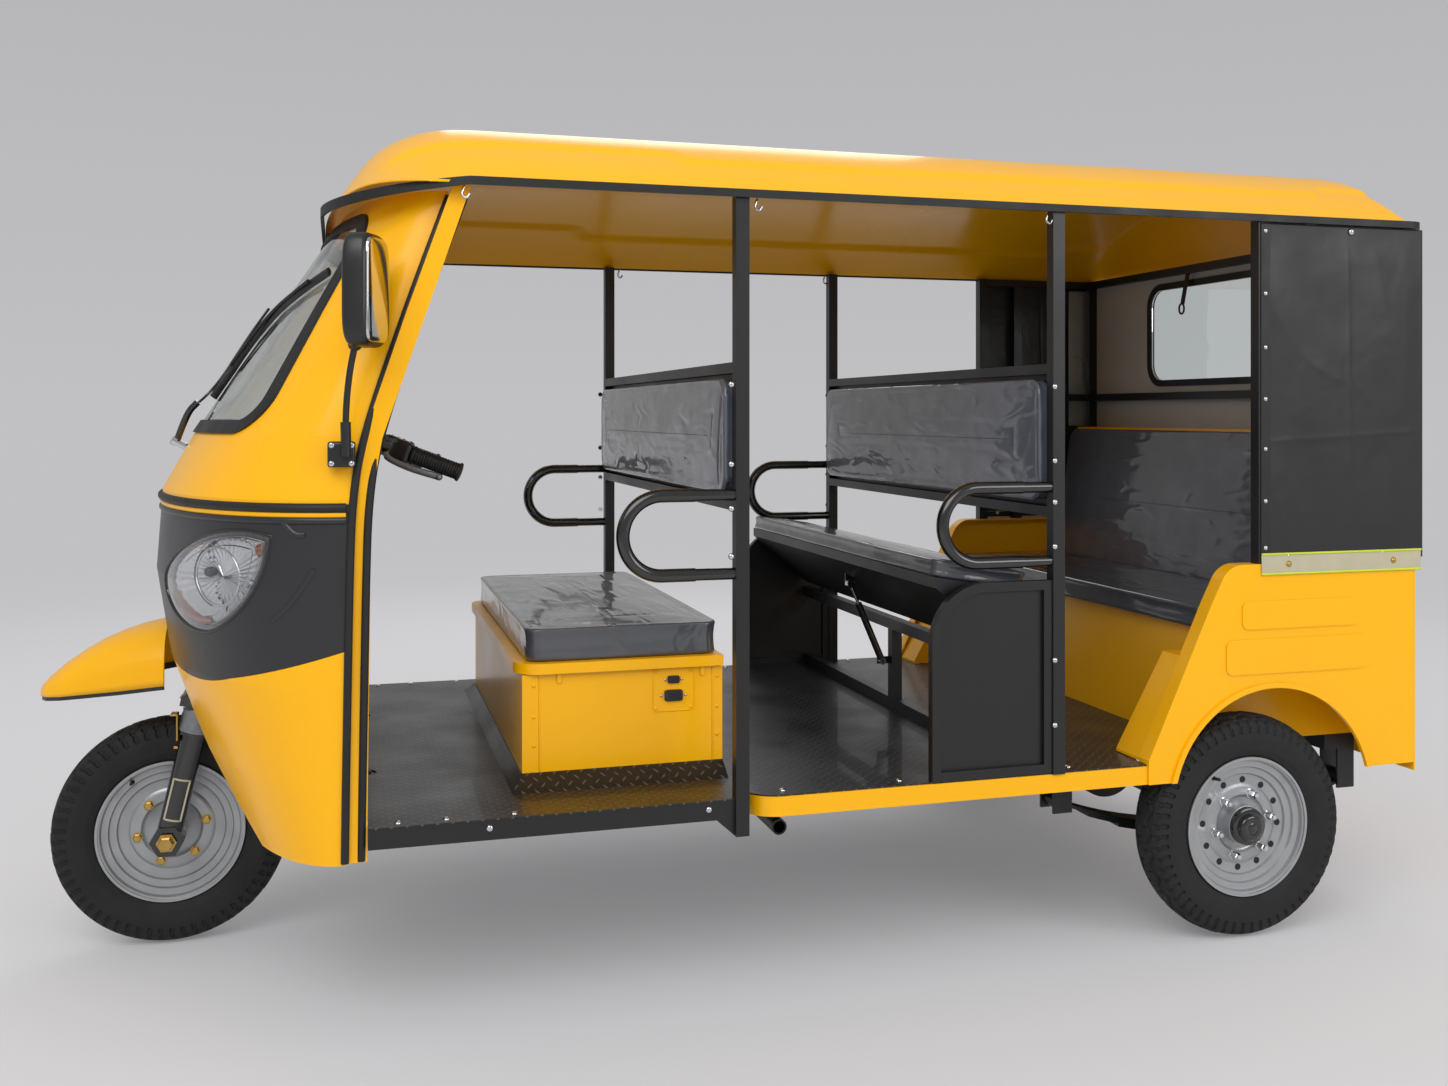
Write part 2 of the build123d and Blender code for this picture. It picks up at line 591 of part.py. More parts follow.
# Hoops: a post each side, a top rail, a lower rail and a back board
CROSS_RAIL = 22
BACK_FOOT = 1027
BACK_HEAD = 1264
with BuildPart() as front_hoop:
    for side in (-1, 1):
        add(box_between((FRONT_POST_X - POST / 2, side * POST_Y - POST / 2, 341),
                        (FRONT_POST_X + POST / 2, side * POST_Y + POST / 2, POST_TOP)))
        with BuildSketch(Plane.XZ.offset(-side * POST_Y - 3)):
            with BuildLine():
                Polyline((FRONT_POST_X - POST / 2, 341), (FRONT_POST_X - POST / 2, FLOOR_UNDER - SILL_HEIGHT),
                         (FRONT_POST_X - POST / 2 - 38, FLOOR_UNDER - SILL_HEIGHT), close=True)
            make_face()
        extrude(amount=6)
    for z in (BACK_HEAD + 10, BACK_FOOT - 10 - CROSS_RAIL):
        add(box_between((FRONT_POST_X - POST / 2, -POST_Y, z),
                        (FRONT_POST_X + POST / 2, POST_Y, z + CROSS_RAIL)))
    add(box_between((FRONT_POST_X + 6, -POST_Y, BACK_FOOT - 12), (FRONT_POST_X + 8, POST_Y, BACK_HEAD + 12)))
front_hoop.part.label = "front_hoop"
export_step(front_hoop.part, "parts/front_hoop.step")

PAD_THICK = 40
with BuildPart() as front_pad:
    with Locations((FRONT_POST_X + 6 - SEAT_GAP - PAD_THICK / 2, 0, (BACK_FOOT + BACK_HEAD) / 2)):
        Box(PAD_THICK, 2 * (POST_Y - POST / 2 - 6), BACK_HEAD - BACK_FOOT)
    fillet(front_pad.edges().filter_by(Axis.X), 12)

MID_BACK_FOOT = 1000
MID_BACK_HEAD = 1268
SEAT_RAIL_Z = 775
HINGE_X = station(1828)
HINGE_Z = 784
HINGE_YS = (-420, 420)
HINGE_LENGTH = 60
BARREL_RADIUS = 10
HINGE_PIN = 6
with BuildPart() as mid_hoop:
    for side in (-1, 1):
        add(box_between((MID_POST_X - POST / 2, side * POST_Y - POST / 2, FLOOR_UNDER),
                        (MID_POST_X + POST / 2, side * POST_Y + POST / 2, POST_TOP)))
    for z in (MID_BACK_HEAD + 10, MID_BACK_FOOT - 10 - CROSS_RAIL):
        add(box_between((MID_POST_X - POST / 2, -POST_Y, z), (MID_POST_X + POST / 2, POST_Y, z + CROSS_RAIL)))
    add(box_between((MID_POST_X + 6, -POST_Y, MID_BACK_FOOT - 12),
                    (MID_POST_X + 8, POST_Y, MID_BACK_HEAD + 12)))
    add(box_between((MID_POST_X - POST / 2, -POST_Y, SEAT_RAIL_Z - POST / 2),
                    (MID_POST_X + POST / 2, POST_Y, SEAT_RAIL_Z + POST / 2)))
    for y in HINGE_YS:
        with BuildSketch(Plane.XZ.offset(-y - HINGE_LENGTH / 2 - 8)):
            with Locations((HINGE_X, HINGE_Z)):
                Circle(HINGE_PIN)
        extrude(amount=HINGE_LENGTH + 16)
        for end in (y - HINGE_LENGTH / 2 - 7, y + HINGE_LENGTH / 2 + 1):
            add(box_between((HINGE_X - 9, end, HINGE_Z - 9), (MID_POST_X - POST / 2, end + 6, HINGE_Z + 5)))
mid_hoop.part.label = "mid_hoop"
export_step(mid_hoop.part, "parts/mid_hoop.step")

with BuildPart() as mid_pad:
    with Locations((MID_POST_X + 6 - SEAT_GAP - PAD_THICK / 2, 0, (MID_BACK_FOOT + MID_BACK_HEAD) / 2)):
        Box(PAD_THICK, 2 * (POST_Y - POST / 2 - 6), MID_BACK_HEAD - MID_BACK_FOOT)
    fillet(mid_pad.edges().filter_by(Axis.X), 12)
    add(front_pad.part)
mid_pad.part.label = "hoop_backrests"
export_step(mid_pad.part, "parts/hoop_backrests.step")

# Side panels of the middle seat: a tube frame with a round front corner and a sheet inside it
SIDE_PANEL_FRONT = station(1560)
SIDE_PANEL_TOP = 832
SIDE_PANEL_CORNER = 125
PANEL_TUBE = 20
with BuildPart() as side_panels:
    for side in (-1, 1):
        for shrink, low, high in ((0, -PANEL_TUBE / 2, PANEL_TUBE / 2), (PANEL_TUBE, 2, PANEL_TUBE)):
            with BuildSketch(Plane.XZ.offset(-side * POST_Y - PANEL_TUBE / 2)) as panel:
                with BuildLine():
                    Polyline((SIDE_PANEL_FRONT, FLOOR_TOP), (SIDE_PANEL_FRONT, SIDE_PANEL_TOP),
                             (MID_POST_X - POST / 2, SIDE_PANEL_TOP), (MID_POST_X - POST / 2, FLOOR_TOP),
                             close=True)
                make_face()
                fillet(panel.vertices().group_by(Axis.Y)[-1].sort_by(Axis.X)[0], SIDE_PANEL_CORNER)
                if shrink:
                    offset(amount=-shrink)
            if shrink == 0:
                extrude(amount=PANEL_TUBE)
            else:
                extrude(amount=PANEL_TUBE, mode=Mode.SUBTRACT)
                with BuildSketch(Plane.XZ.offset(-side * POST_Y - 1)):
                    with Locations(((SIDE_PANEL_FRONT + MID_POST_X - POST / 2) / 2,
                                    (FLOOR_TOP + SIDE_PANEL_TOP) / 2)):
                        Rectangle(MID_POST_X - POST / 2 - SIDE_PANEL_FRONT - 2 * PANEL_TUBE + 2,
                                  SIDE_PANEL_TOP - FLOOR_TOP - 2 * PANEL_TUBE + 2)
                    with Locations((SIDE_PANEL_FRONT, SIDE_PANEL_TOP)):
                        Rectangle(2 * PANEL_TUBE + 120, 2 * PANEL_TUBE + 120, mode=Mode.SUBTRACT)
                    with Locations((SIDE_PANEL_FRONT + SIDE_PANEL_CORNER,
                                    SIDE_PANEL_TOP - SIDE_PANEL_CORNER)):
                        Circle(SIDE_PANEL_CORNER - PANEL_TUBE + 1)
                extrude(amount=2)
side_panels.part.label = "mid_side_panels"
export_step(side_panels.part, "parts/mid_side_panels.step")

# Fixed frame under the middle seat: floor rail, centre post, upper rail and the strut's lower pin
BASE_X = station(1775)
BASE_RAIL = 28
BASE_HALF = POST_Y - PANEL_TUBE / 2 - SEAT_GAP
BASE_TOP = 652
PIN_RADIUS = 4
STRUT_FOOT = (station(1738), 541)
STRUT_HEAD = (station(1648), 748)
STRUT_EYE_HALF = 8
with BuildPart() as seat_base:
    add(box_between((BASE_X - BASE_RAIL / 2, -BASE_HALF, FLOOR_TOP),
                    (BASE_X + BASE_RAIL / 2, BASE_HALF, FLOOR_TOP + BASE_RAIL)))
    add(box_between((BASE_X - BASE_RAIL / 2, -BASE_HALF, BASE_TOP - BASE_RAIL),
                    (BASE_X + BASE_RAIL / 2, BASE_HALF, BASE_TOP)))
    add(box_between((BASE_X - BASE_RAIL / 2, -BASE_RAIL / 2, FLOOR_TOP + BASE_RAIL),
                    (BASE_X + BASE_RAIL / 2, BASE_RAIL / 2, BASE_TOP - BASE_RAIL)))
    add(box_between((STRUT_FOOT[0] - 9, STRUT_EYE_HALF + 1, STRUT_FOOT[1] - 9),
                    (BASE_X - BASE_RAIL / 2, BASE_RAIL / 2, STRUT_FOOT[1] + 9)))
    with BuildSketch(Plane.XZ.offset(STRUT_EYE_HALF + 2)):
        with Locations(STRUT_FOOT):
            Circle(PIN_RADIUS)
    extrude(amount=-(2 * STRUT_EYE_HALF + 4))
seat_base.part.label = "mid_seat_base"
export_step(seat_base.part, "parts/mid_seat_base.step")

# Middle seat: a wedge pan on two hinges, with its cushion
PAN_FRONT = station(1588)
PAN_FRONT_TOP = 842
PAN_REAR = station(1822)
PAN_REAR_TOP = 804
PAN_SHEET = 3
PAN_HALF = BODY_HALF - 45
with BuildPart() as seat_pan:
    with BuildSketch(Plane.XZ.offset(-PAN_HALF)):
        with BuildLine():
            Polyline((PAN_FRONT, PAN_FRONT_TOP), (PAN_REAR, PAN_REAR_TOP),
                     (PAN_REAR, PAN_REAR_TOP - PAN_SHEET),
                     (PAN_FRONT + PAN_SHEET, PAN_FRONT_TOP - PAN_SHEET),
                     (PAN_FRONT + PAN_SHEET, PAN_FRONT_TOP - 22),
                     (station(1762), 674), (station(1760), 671), (PAN_FRONT, PAN_FRONT_TOP - 24), close=True)
        make_face()
    extrude(amount=2 * PAN_HALF)
    for y in (-PAN_HALF, -8, PAN_HALF - 4):
        with BuildSketch(Plane.XZ.offset(-y - 4)):
            with BuildLine():
                Polyline((PAN_FRONT + 1, PAN_FRONT_TOP - 2), (PAN_REAR - 2, PAN_REAR_TOP - 2),
                         (station(1762), 673), (PAN_FRONT + 1, PAN_FRONT_TOP - 22), close=True)
            make_face()
        extrude(amount=4)
    add(box_between((STRUT_HEAD[0] - 8, STRUT_EYE_HALF + 3, STRUT_HEAD[1] - 8),
                    (STRUT_HEAD[0] + 8, STRUT_EYE_HALF + 9, STRUT_HEAD[1] + 44)))
    with BuildSketch(Plane.XZ.offset(STRUT_EYE_HALF + 2)):
        with Locations(STRUT_HEAD):
            Circle(PIN_RADIUS)
    extrude(amount=-(2 * STRUT_EYE_HALF + 8))
    for y in HINGE_YS:
        with BuildSketch(Plane.XZ.offset(-y - HINGE_LENGTH / 2)):
            with Locations((HINGE_X, HINGE_Z)):
                Circle(BARREL_RADIUS)
        extrude(amount=HINGE_LENGTH)
        add(box_between((PAN_REAR - 12, y - HINGE_LENGTH / 2, HINGE_Z),
                        (PAN_REAR - 1, y + HINGE_LENGTH / 2, PAN_REAR_TOP - 2)))
        with BuildSketch(Plane.XZ.offset(-y - HINGE_LENGTH / 2)):
            with Locations((HINGE_X, HINGE_Z)):
                Circle(HINGE_PIN + AXLE_FIT)
        extrude(amount=HINGE_LENGTH, mode=Mode.SUBTRACT)
seat_pan.part.label = "mid_seat_pan"
export_step(seat_pan.part, "parts/mid_seat_pan.step")

CUSHION_THICK = 46
with BuildPart() as mid_cushion:
    with BuildSketch(Plane.XZ.offset(-PAN_HALF - 2)) as cushion_side:
        with BuildLine():
            Polyline((PAN_FRONT - 6, PAN_FRONT_TOP + 1.3), (PAN_REAR - 8, PAN_REAR_TOP + 1.6),
                     (PAN_REAR - 8, PAN_REAR_TOP + CUSHION_THICK),
                     (PAN_FRONT - 6, PAN_FRONT_TOP + CUSHION_THICK), close=True)
        make_face()
        fillet(cushion_side.vertices().group_by(Axis.X)[0].sort_by(Axis.Y)[-1], 14)
    extrude(amount=2 * PAN_HALF + 4)
mid_cushion.part.label = "mid_cushion"
export_step(mid_cushion.part, "parts/mid_cushion.step")

# Gas strut of the middle seat, in two pieces
strut_run = math.dist(STRUT_FOOT, STRUT_HEAD)
strut_dir = ((STRUT_HEAD[0] - STRUT_FOOT[0]) / strut_run, 0, (STRUT_HEAD[1] - STRUT_FOOT[1]) / strut_run)
STRUT_TUBE_RADIUS = 9
STRUT_TUBE_LENGTH = 168
STRUT_ROD_RADIUS = 4
EYE_RADIUS = 9
HEAD_EYE_RADIUS = 10.5
HEAD_EYE_PLAY = 2.8
strut_plane = Plane(origin=(STRUT_FOOT[0], 0, STRUT_FOOT[1]), x_dir=(0, 1, 0), z_dir=strut_dir)
with BuildPart() as strut_tube:
    with BuildSketch(strut_plane.offset(EYE_RADIUS - 2)):
        Circle(STRUT_TUBE_RADIUS)
    extrude(amount=STRUT_TUBE_LENGTH - EYE_RADIUS + 2)
    with BuildSketch(Plane.XZ.offset(-STRUT_EYE_HALF)):
        with Locations(STRUT_FOOT):
            Circle(EYE_RADIUS)
    extrude(amount=2 * STRUT_EYE_HALF)
    with BuildSketch(Plane.XZ.offset(-STRUT_EYE_HALF)):
        with Locations(STRUT_FOOT):
            Circle(PIN_RADIUS + AXLE_FIT)
    extrude(amount=2 * STRUT_EYE_HALF, mode=Mode.SUBTRACT)
    with BuildSketch(strut_plane.offset(EYE_RADIUS + 10)):
        Circle(STRUT_ROD_RADIUS + AXLE_FIT)
    extrude(amount=STRUT_TUBE_LENGTH, mode=Mode.SUBTRACT)
strut_tube.part.label = "strut_tube"
export_step(strut_tube.part, "parts/strut_tube.step")

with BuildPart() as strut_rod:
    with BuildSketch(strut_plane.offset(EYE_RADIUS + 14)):
        Circle(STRUT_ROD_RADIUS)
    extrude(amount=strut_run - 2 * EYE_RADIUS - 14 + 2)
    with BuildSketch(Plane.XZ.offset(-STRUT_EYE_HALF)):
        with Locations(STRUT_HEAD):
            Circle(HEAD_EYE_RADIUS)
    extrude(amount=2 * STRUT_EYE_HALF)
    with BuildSketch(Plane.XZ.offset(-STRUT_EYE_HALF)):
        with Locations(STRUT_HEAD):
            Circle(PIN_RADIUS + HEAD_EYE_PLAY)
    extrude(amount=2 * STRUT_EYE_HALF, mode=Mode.SUBTRACT)
strut_rod.part.label = "strut_rod"
export_step(strut_rod.part, "parts/strut_rod.step")

# Driver's seat: box with a battery block, hinged lid and cushion
BOX_TOP = 648
BOX_SHEET = 3
LID_REACH = 14
LID_TOP = 672
LID_HINGE_X = BOX_REAR + 14
LID_HINGE_Z = 652
LID_HINGE_YS = (-300, 300)
with BuildPart() as seat_box:
    add(box_between((BOX_FRONT, -BOX_HALF, BOX_FOOT), (BOX_REAR, BOX_HALF, BOX_TOP)))
    add(box_between((BOX_FRONT + BOX_SHEET, -BOX_HALF + BOX_SHEET, BOX_FOOT + BOX_SHEET),
                    (BOX_REAR - BOX_SHEET, BOX_HALF - BOX_SHEET, BOX_TOP + 1)), mode=Mode.SUBTRACT)
    # Hinge pins in two ears each, behind the rear wall; the ears are stepped for the lid's skirt
    for y in LID_HINGE_YS:
        with BuildSketch(Plane.XZ.offset(-y - HINGE_LENGTH / 2 - 8)):
            with Locations((LID_HINGE_X, LID_HINGE_Z)):
                Circle(HINGE_PIN)
        extrude(amount=HINGE_LENGTH + 16)
        for end in (y - HINGE_LENGTH / 2 - 7, y + HINGE_LENGTH / 2 + 1):
            add(box_between((BOX_REAR, end, LID_HINGE_Z - 40), (LID_HINGE_X + 9, end + 6, LID_HINGE_Z - 4)))
            add(box_between((LID_HINGE_X - 9, end, LID_HINGE_Z - 5),
                            (LID_HINGE_X + 9, end + 6, LID_HINGE_Z + 9)))
seat_box.part.label = "driver_seat_box"
export_step(seat_box.part, "parts/driver_seat_box.step")

with BuildPart() as battery:
    add(box_between((BOX_FRONT + 40, -400, BOX_FOOT + BOX_SHEET), (BOX_REAR - 40, 400, BOX_TOP - 40)))
battery.part.label = "battery_block"
export_step(battery.part, "parts/battery_block.step")

with BuildPart() as seat_lid:
    with BuildSketch(Plane.XY.offset(BOX_TOP + 2)) as lid_plan:
        with Locations(((BOX_FRONT - LID_REACH + BOX_REAR - 1) / 2, 0)):
            Rectangle(BOX_REAR - 1 - BOX_FRONT + LID_REACH, 2 * (BOX_HALF + LID_REACH))
        fillet(lid_plan.vertices().group_by(Axis.X)[0], 55)
    extrude(amount=LID_TOP - BOX_TOP - 2)
    with BuildSketch(Plane.XY.offset(BOX_TOP + 2)) as lid_room:
        with Locations(((BOX_FRONT - LID_REACH + BOX_REAR - 1) / 2, 0)):
            Rectangle(BOX_REAR - 1 - BOX_FRONT + LID_REACH, 2 * (BOX_HALF + LID_REACH))
        fillet(lid_room.vertices().group_by(Axis.X)[0], 55)
        offset(amount=-3)
    extrude(amount=LID_TOP - BOX_TOP - 5, mode=Mode.SUBTRACT)
    for y in LID_HINGE_YS:
        add(box_between((BOX_REAR - 3, y - HINGE_LENGTH / 2, LID_TOP - 8),
                        (LID_HINGE_X, y + HINGE_LENGTH / 2, LID_TOP)))
        add(box_between((LID_HINGE_X - 3, y - HINGE_LENGTH / 2, LID_HINGE_Z),
                        (LID_HINGE_X + 3, y + HINGE_LENGTH / 2, LID_TOP)))
        with BuildSketch(Plane.XZ.offset(-y - HINGE_LENGTH / 2)):
            with Locations((LID_HINGE_X, LID_HINGE_Z)):
                Circle(BARREL_RADIUS)
        extrude(amount=HINGE_LENGTH)
        with BuildSketch(Plane.XZ.offset(-y - HINGE_LENGTH / 2)):
            with Locations((LID_HINGE_X, LID_HINGE_Z)):
                Circle(HINGE_PIN + AXLE_FIT)
        extrude(amount=HINGE_LENGTH, mode=Mode.SUBTRACT)
seat_lid.part.label = "driver_seat_lid"
export_step(seat_lid.part, "parts/driver_seat_lid.step")

SEAT_TOP = 750
with BuildPart() as driver_cushion:
    with BuildSketch(Plane.XY.offset(LID_TOP + SEAT_GAP)) as cushion_plan:
        with Locations(((BOX_FRONT + 8 + BOX_REAR - 6) / 2, 0)):
            Rectangle(BOX_REAR - BOX_FRONT - 14, 2 * BOX_HALF - 4)
        fillet(cushion_plan.vertices(), 24)
    extrude(amount=SEAT_TOP - LID_TOP - SEAT_GAP)
    fillet(driver_cushion.edges().group_by(Axis.Z)[-1], 14)
driver_cushion.part.label = "driver_cushion"
export_step(driver_cushion.part, "parts/driver_cushion.step")

# Rear quarters: outer skin with the wheel arch, a turned-in edge along front and top, and a rolled lip
SKIN = 4
EDGE_RETURN = 40
ARCH_X = station(2400)
ARCH_RADIUS = 262
ARCH_Z = 308
ARCH_LIP = 12
QUARTER_TOP = 851
QUARTER_TAIL = station(2790)
QUARTER_FOOT = FLOOR_UNDER - SILL_DROP


def quarter_outline(inset, beyond=0.0):
    """Side outline of a rear quarter, moved in by inset, its foot and tail moved out by beyond."""
    with BuildSketch(Plane.XZ, mode=Mode.PRIVATE) as outline:
        with BuildLine():
            Polyline((QUARTER_FRONT, QUARTER_FOOT), (QUARTER_FRONT, FLOOR_TOP + 10),
                     (station(2240), 768), (station(2284), QUARTER_TOP),
                     (QUARTER_TAIL, QUARTER_TOP), (QUARTER_TAIL, QUARTER_FOOT), close=True)
        make_face()
        fillet(outline.vertices().sort_by_distance((station(2284), QUARTER_TOP))[0], 60)
        if inset:
            offset(amount=-inset, kind=Kind.INTERSECTION)
            with Locations((QUARTER_TAIL, 0)):
                Rectangle(60, 2 * (QUARTER_TOP - inset), align=(Align.CENTER, Align.CENTER))
            with Locations((ARCH_X, QUARTER_FOOT)):
                Rectangle(2 * (ARCH_X - QUARTER_FRONT - inset), 60)
    return outline.sketch


def slab(sketch, y_low, y_high):
    """A sketch of the XZ plane carried across the vehicle from one Y to another."""
    with BuildPart(mode=Mode.PRIVATE) as solid:
        with BuildSketch(Plane.XZ.offset(-y_high)):
            add(sketch)
        extrude(amount=y_high - y_low)
    return solid.part


with BuildSketch(Plane.XZ) as arch_disc:
    with Locations((ARCH_X, ARCH_Z)):
        Circle(ARCH_RADIUS)
with BuildSketch(Plane.XZ) as arch_lip_ring:
    with Locations((ARCH_X, ARCH_Z)):
        Circle(ARCH_RADIUS + ARCH_LIP)
        Circle(ARCH_RADIUS, mode=Mode.SUBTRACT)

with BuildPart() as quarter:
    add(slab(quarter_outline(0), BODY_HALF - EDGE_RETURN, BODY_HALF))
    add(slab(quarter_outline(SKIN), BODY_HALF - EDGE_RETURN - 1, BODY_HALF - SKIN), mode=Mode.SUBTRACT)
    add(slab(arch_lip_ring.sketch, BODY_HALF - SKIN, BODY_HALF + 6))
    add(slab(arch_disc.sketch, BODY_HALF - EDGE_RETURN - 1, BODY_HALF + 7), mode=Mode.SUBTRACT)
    add(box_between((station(2000), 600, 0), (station(2900), 720, QUARTER_FOOT)), mode=Mode.SUBTRACT)
    # Two pressed panels stiffen the skin
    for low, high, front, rear in ((603, 682, 2276, 2660), (704, 768, 2318, 2632)):
        with BuildSketch(Plane.XZ.offset(-BODY_HALF - 3)):
            with Locations(((station(front) + station(rear)) / 2, (low + high) / 2)):
                RectangleRounded(rear - front, high - low, 16)
        extrude(amount=3)
with BuildPart() as quarters:
    add(mirrored_pair(quarter.part))
quarters.part.label = "rear_quarters"
export_step(quarters.part, "parts/rear_quarters.step")

# Wheel houses: an inner wall with a sloping cover over the front of the tyre
HOUSE_TOP = 640
HOUSE_SHEET = 3
with BuildSketch(Plane.XZ) as house_outline:
    with BuildLine():
        Polyline((QUARTER_FRONT + 1, FLOOR_TOP + SEAT_GAP), (station(2206), HOUSE_TOP),
                 (station(2640), HOUSE_TOP), (station(2760), FLOOR_TOP + SEAT_GAP), close=True)
    make_face()
with BuildSketch(Plane.XZ) as house_room:
    with BuildLine():
        Polyline((QUARTER_FRONT + 5, FLOOR_TOP - 1), (station(2209), HOUSE_TOP - HOUSE_SHEET),
                 (station(2637), HOUSE_TOP - HOUSE_SHEET), (station(2756), FLOOR_TOP - 1), close=True)
    make_face()
with BuildPart() as house:
    add(slab(house_outline.sketch, WELL_IN, BODY_HALF - SKIN - 1))
    add(slab(house_room.sketch, WELL_IN + HOUSE_SHEET, BODY_HALF), mode=Mode.SUBTRACT)
    add(slab(quarter_outline(SKIN + SEAT_GAP), 500, BODY_HALF), mode=Mode.INTERSECT)
with BuildPart() as wheel_houses:
    add(mirrored_pair(house.part))
wheel_houses.part.label = "wheel_houses"
export_step(wheel_houses.part, "parts/wheel_houses.step")

# Rear seat: riser and board, with a cushion and a back cushion
REAR_SEAT_TOP = 695
REAR_WALL_X = TAIL_POST_X + POST / 2
WALL_SHEET = 3
WALL_HALF = BODY_HALF - 4
BACK_FOOT_X = station(2640)
SEAT_BOARD_HALF = BODY_HALF - 60
REAR_CUSHION_HALF = BODY_HALF - 78
REAR_BACK_HALF = BODY_HALF - 74
BACK_TOP = 1143
BACK_THICK = 42
BACK_CUSHION_FOOT = 705
BACK_SLOPE = 0.135


def back_x(height):
    """X of the rear seat's back board at a height; it leans rearwards."""
    return BACK_FOOT_X + (height - REAR_SEAT_TOP) * BACK_SLOPE


with BuildPart() as rear_riser:
    add(box_between((RISER_X, -WELL_IN + 1, FLOOR_TOP), (RISER_X + 3, WELL_IN - 1, REAR_SEAT_TOP - 3)))
    add(box_between((RISER_X - 8, -SEAT_BOARD_HALF, REAR_SEAT_TOP - 3),
                    (BACK_FOOT_X, SEAT_BOARD_HALF, REAR_SEAT_TOP)))
    for y in (-WELL_IN + 1, -1.5, WELL_IN - 4):
        add(box_between((RISER_X, y, FLOOR_TOP), (BACK_FOOT_X, y + 3, REAR_SEAT_TOP - 3)))
    with BuildSketch(Plane.XZ.offset(-SEAT_BOARD_HALF)):
        with BuildLine():
            Polyline((back_x(REAR_SEAT_TOP), REAR_SEAT_TOP), (back_x(REAR_SEAT_TOP) + 3, REAR_SEAT_TOP),
                     (back_x(BACK_TOP + 7) + 3, BACK_TOP + 7),
                     (back_x(BACK_TOP + 7), BACK_TOP + 7), close=True)
        make_face()
    extrude(amount=2 * SEAT_BOARD_HALF)
    add(box_between((BACK_FOOT_X, -SEAT_BOARD_HALF, REAR_SEAT_TOP - 3),
                    (QUARTER_TAIL, SEAT_BOARD_HALF, REAR_SEAT_TOP)))
rear_riser.part.label = "rear_seat_box"
export_step(rear_riser.part, "parts/rear_seat_box.step")

with BuildPart() as rear_cushion:
    with BuildSketch(Plane.XY.offset(REAR_SEAT_TOP + SEAT_GAP)):
        with Locations(((RISER_X - 22 + BACK_FOOT_X - BACK_THICK - 2) / 2, 0)):
            Rectangle(BACK_FOOT_X - BACK_THICK - 2 - RISER_X + 22, 2 * REAR_CUSHION_HALF)
    extrude(amount=60)
    fillet(rear_cushion.edges().group_by(Axis.Z)[-1], 14)
rear_cushion.part.label = "rear_cushion"
export_step(rear_cushion.part, "parts/rear_cushion.step")

with BuildPart() as rear_back:
    with BuildSketch(Plane.XZ.offset(-REAR_BACK_HALF)):
        with BuildLine():
            foot, head = back_x(BACK_CUSHION_FOOT) - SEAT_GAP, back_x(BACK_TOP) - SEAT_GAP
            Polyline((foot - BACK_THICK, BACK_CUSHION_FOOT), (foot, BACK_CUSHION_FOOT),
                     (head, BACK_TOP), (head - BACK_THICK, BACK_TOP), close=True)
        make_face()
    extrude(amount=2 * REAR_BACK_HALF)
rear_back.part.label = "rear_back_cushion"
export_step(rear_back.part, "parts/rear_back_cushion.step")

# Cage over the rear seat: posts on the quarters, side rails and cross rails
with BuildPart() as cage:
    for side in (-1, 1):
        for x in (QUARTER_POST_X, WINDOW_POST_X, TAIL_POST_X):
            add(box_between((x - POST / 2, side * POST_Y - POST / 2, QUARTER_TOP),
                            (x + POST / 2, side * POST_Y + POST / 2, POST_TOP)))
        for z in (1235, POST_TOP - CROSS_RAIL):
            add(box_between((QUARTER_POST_X - POST / 2, side * POST_Y - CROSS_RAIL / 2, z),
                            (TAIL_POST_X + POST / 2, side * POST_Y + CROSS_RAIL / 2, z + CROSS_RAIL)))
    for z in (1235, POST_TOP - CROSS_RAIL):
        add(box_between((TAIL_POST_X - CROSS_RAIL / 2, -POST_Y, z),
                        (TAIL_POST_X + CROSS_RAIL / 2, POST_Y, z + CROSS_RAIL)))
cage.part.label = "rear_cage"
export_step(cage.part, "parts/rear_cage.step")

# Rear wall with its window, the window's seal and pane, and round corner plates
WINDOW_FOOT = 1275
WINDOW_HEAD = RIM_HEIGHT - 44
WINDOW_HALF = 375
WINDOW_CORNER = 70


def window_prism(grow):
    """The rear window's outline grown by a margin, carried through the wall."""
    with BuildPart(mode=Mode.PRIVATE) as prism:
        with BuildSketch(Plane.YZ.offset(REAR_WALL_X - 60)):
            with Locations((0, (WINDOW_FOOT + WINDOW_HEAD) / 2)):
                RectangleRounded(2 * WINDOW_HALF, WINDOW_HEAD - WINDOW_FOOT, WINDOW_CORNER)
            if grow:
                offset(amount=grow)
        extrude(amount=160)
    return prism.part


with BuildPart() as rear_wall:
    add(box_between((REAR_WALL_X + SEAT_GAP, -WALL_HALF, QUARTER_TOP),
                    (REAR_WALL_X + SEAT_GAP + WALL_SHEET, WALL_HALF, POST_TOP)))
    add(window_prism(0), mode=Mode.SUBTRACT)
rear_wall.part.label = "rear_wall"
export_step(rear_wall.part, "parts/rear_wall.step")

with BuildPart() as window_seal:
    add(box_between((REAR_WALL_X - 6, -BODY_HALF, WINDOW_FOOT - 75),
                    (REAR_WALL_X + 9, BODY_HALF, WINDOW_HEAD + 50)))
    add(window_prism(-SEAT_GAP), mode=Mode.INTERSECT)
    add(window_prism(-20), mode=Mode.SUBTRACT)
    add(glass_seal.part)
window_seal.part.label = "window_seals"
export_step(window_seal.part, "parts/window_seals.step")

with BuildPart() as window_pane:
    add(box_between((REAR_WALL_X - 1, -BODY_HALF, WINDOW_FOOT - 75),
                    (REAR_WALL_X + 3, BODY_HALF, WINDOW_HEAD + 50)))
    add(window_prism(-20 - SEAT_GAP), mode=Mode.INTERSECT)
    add(glass.part)
window_pane.part.label = "window_glass"
export_step(window_pane.part, "parts/window_glass.step")

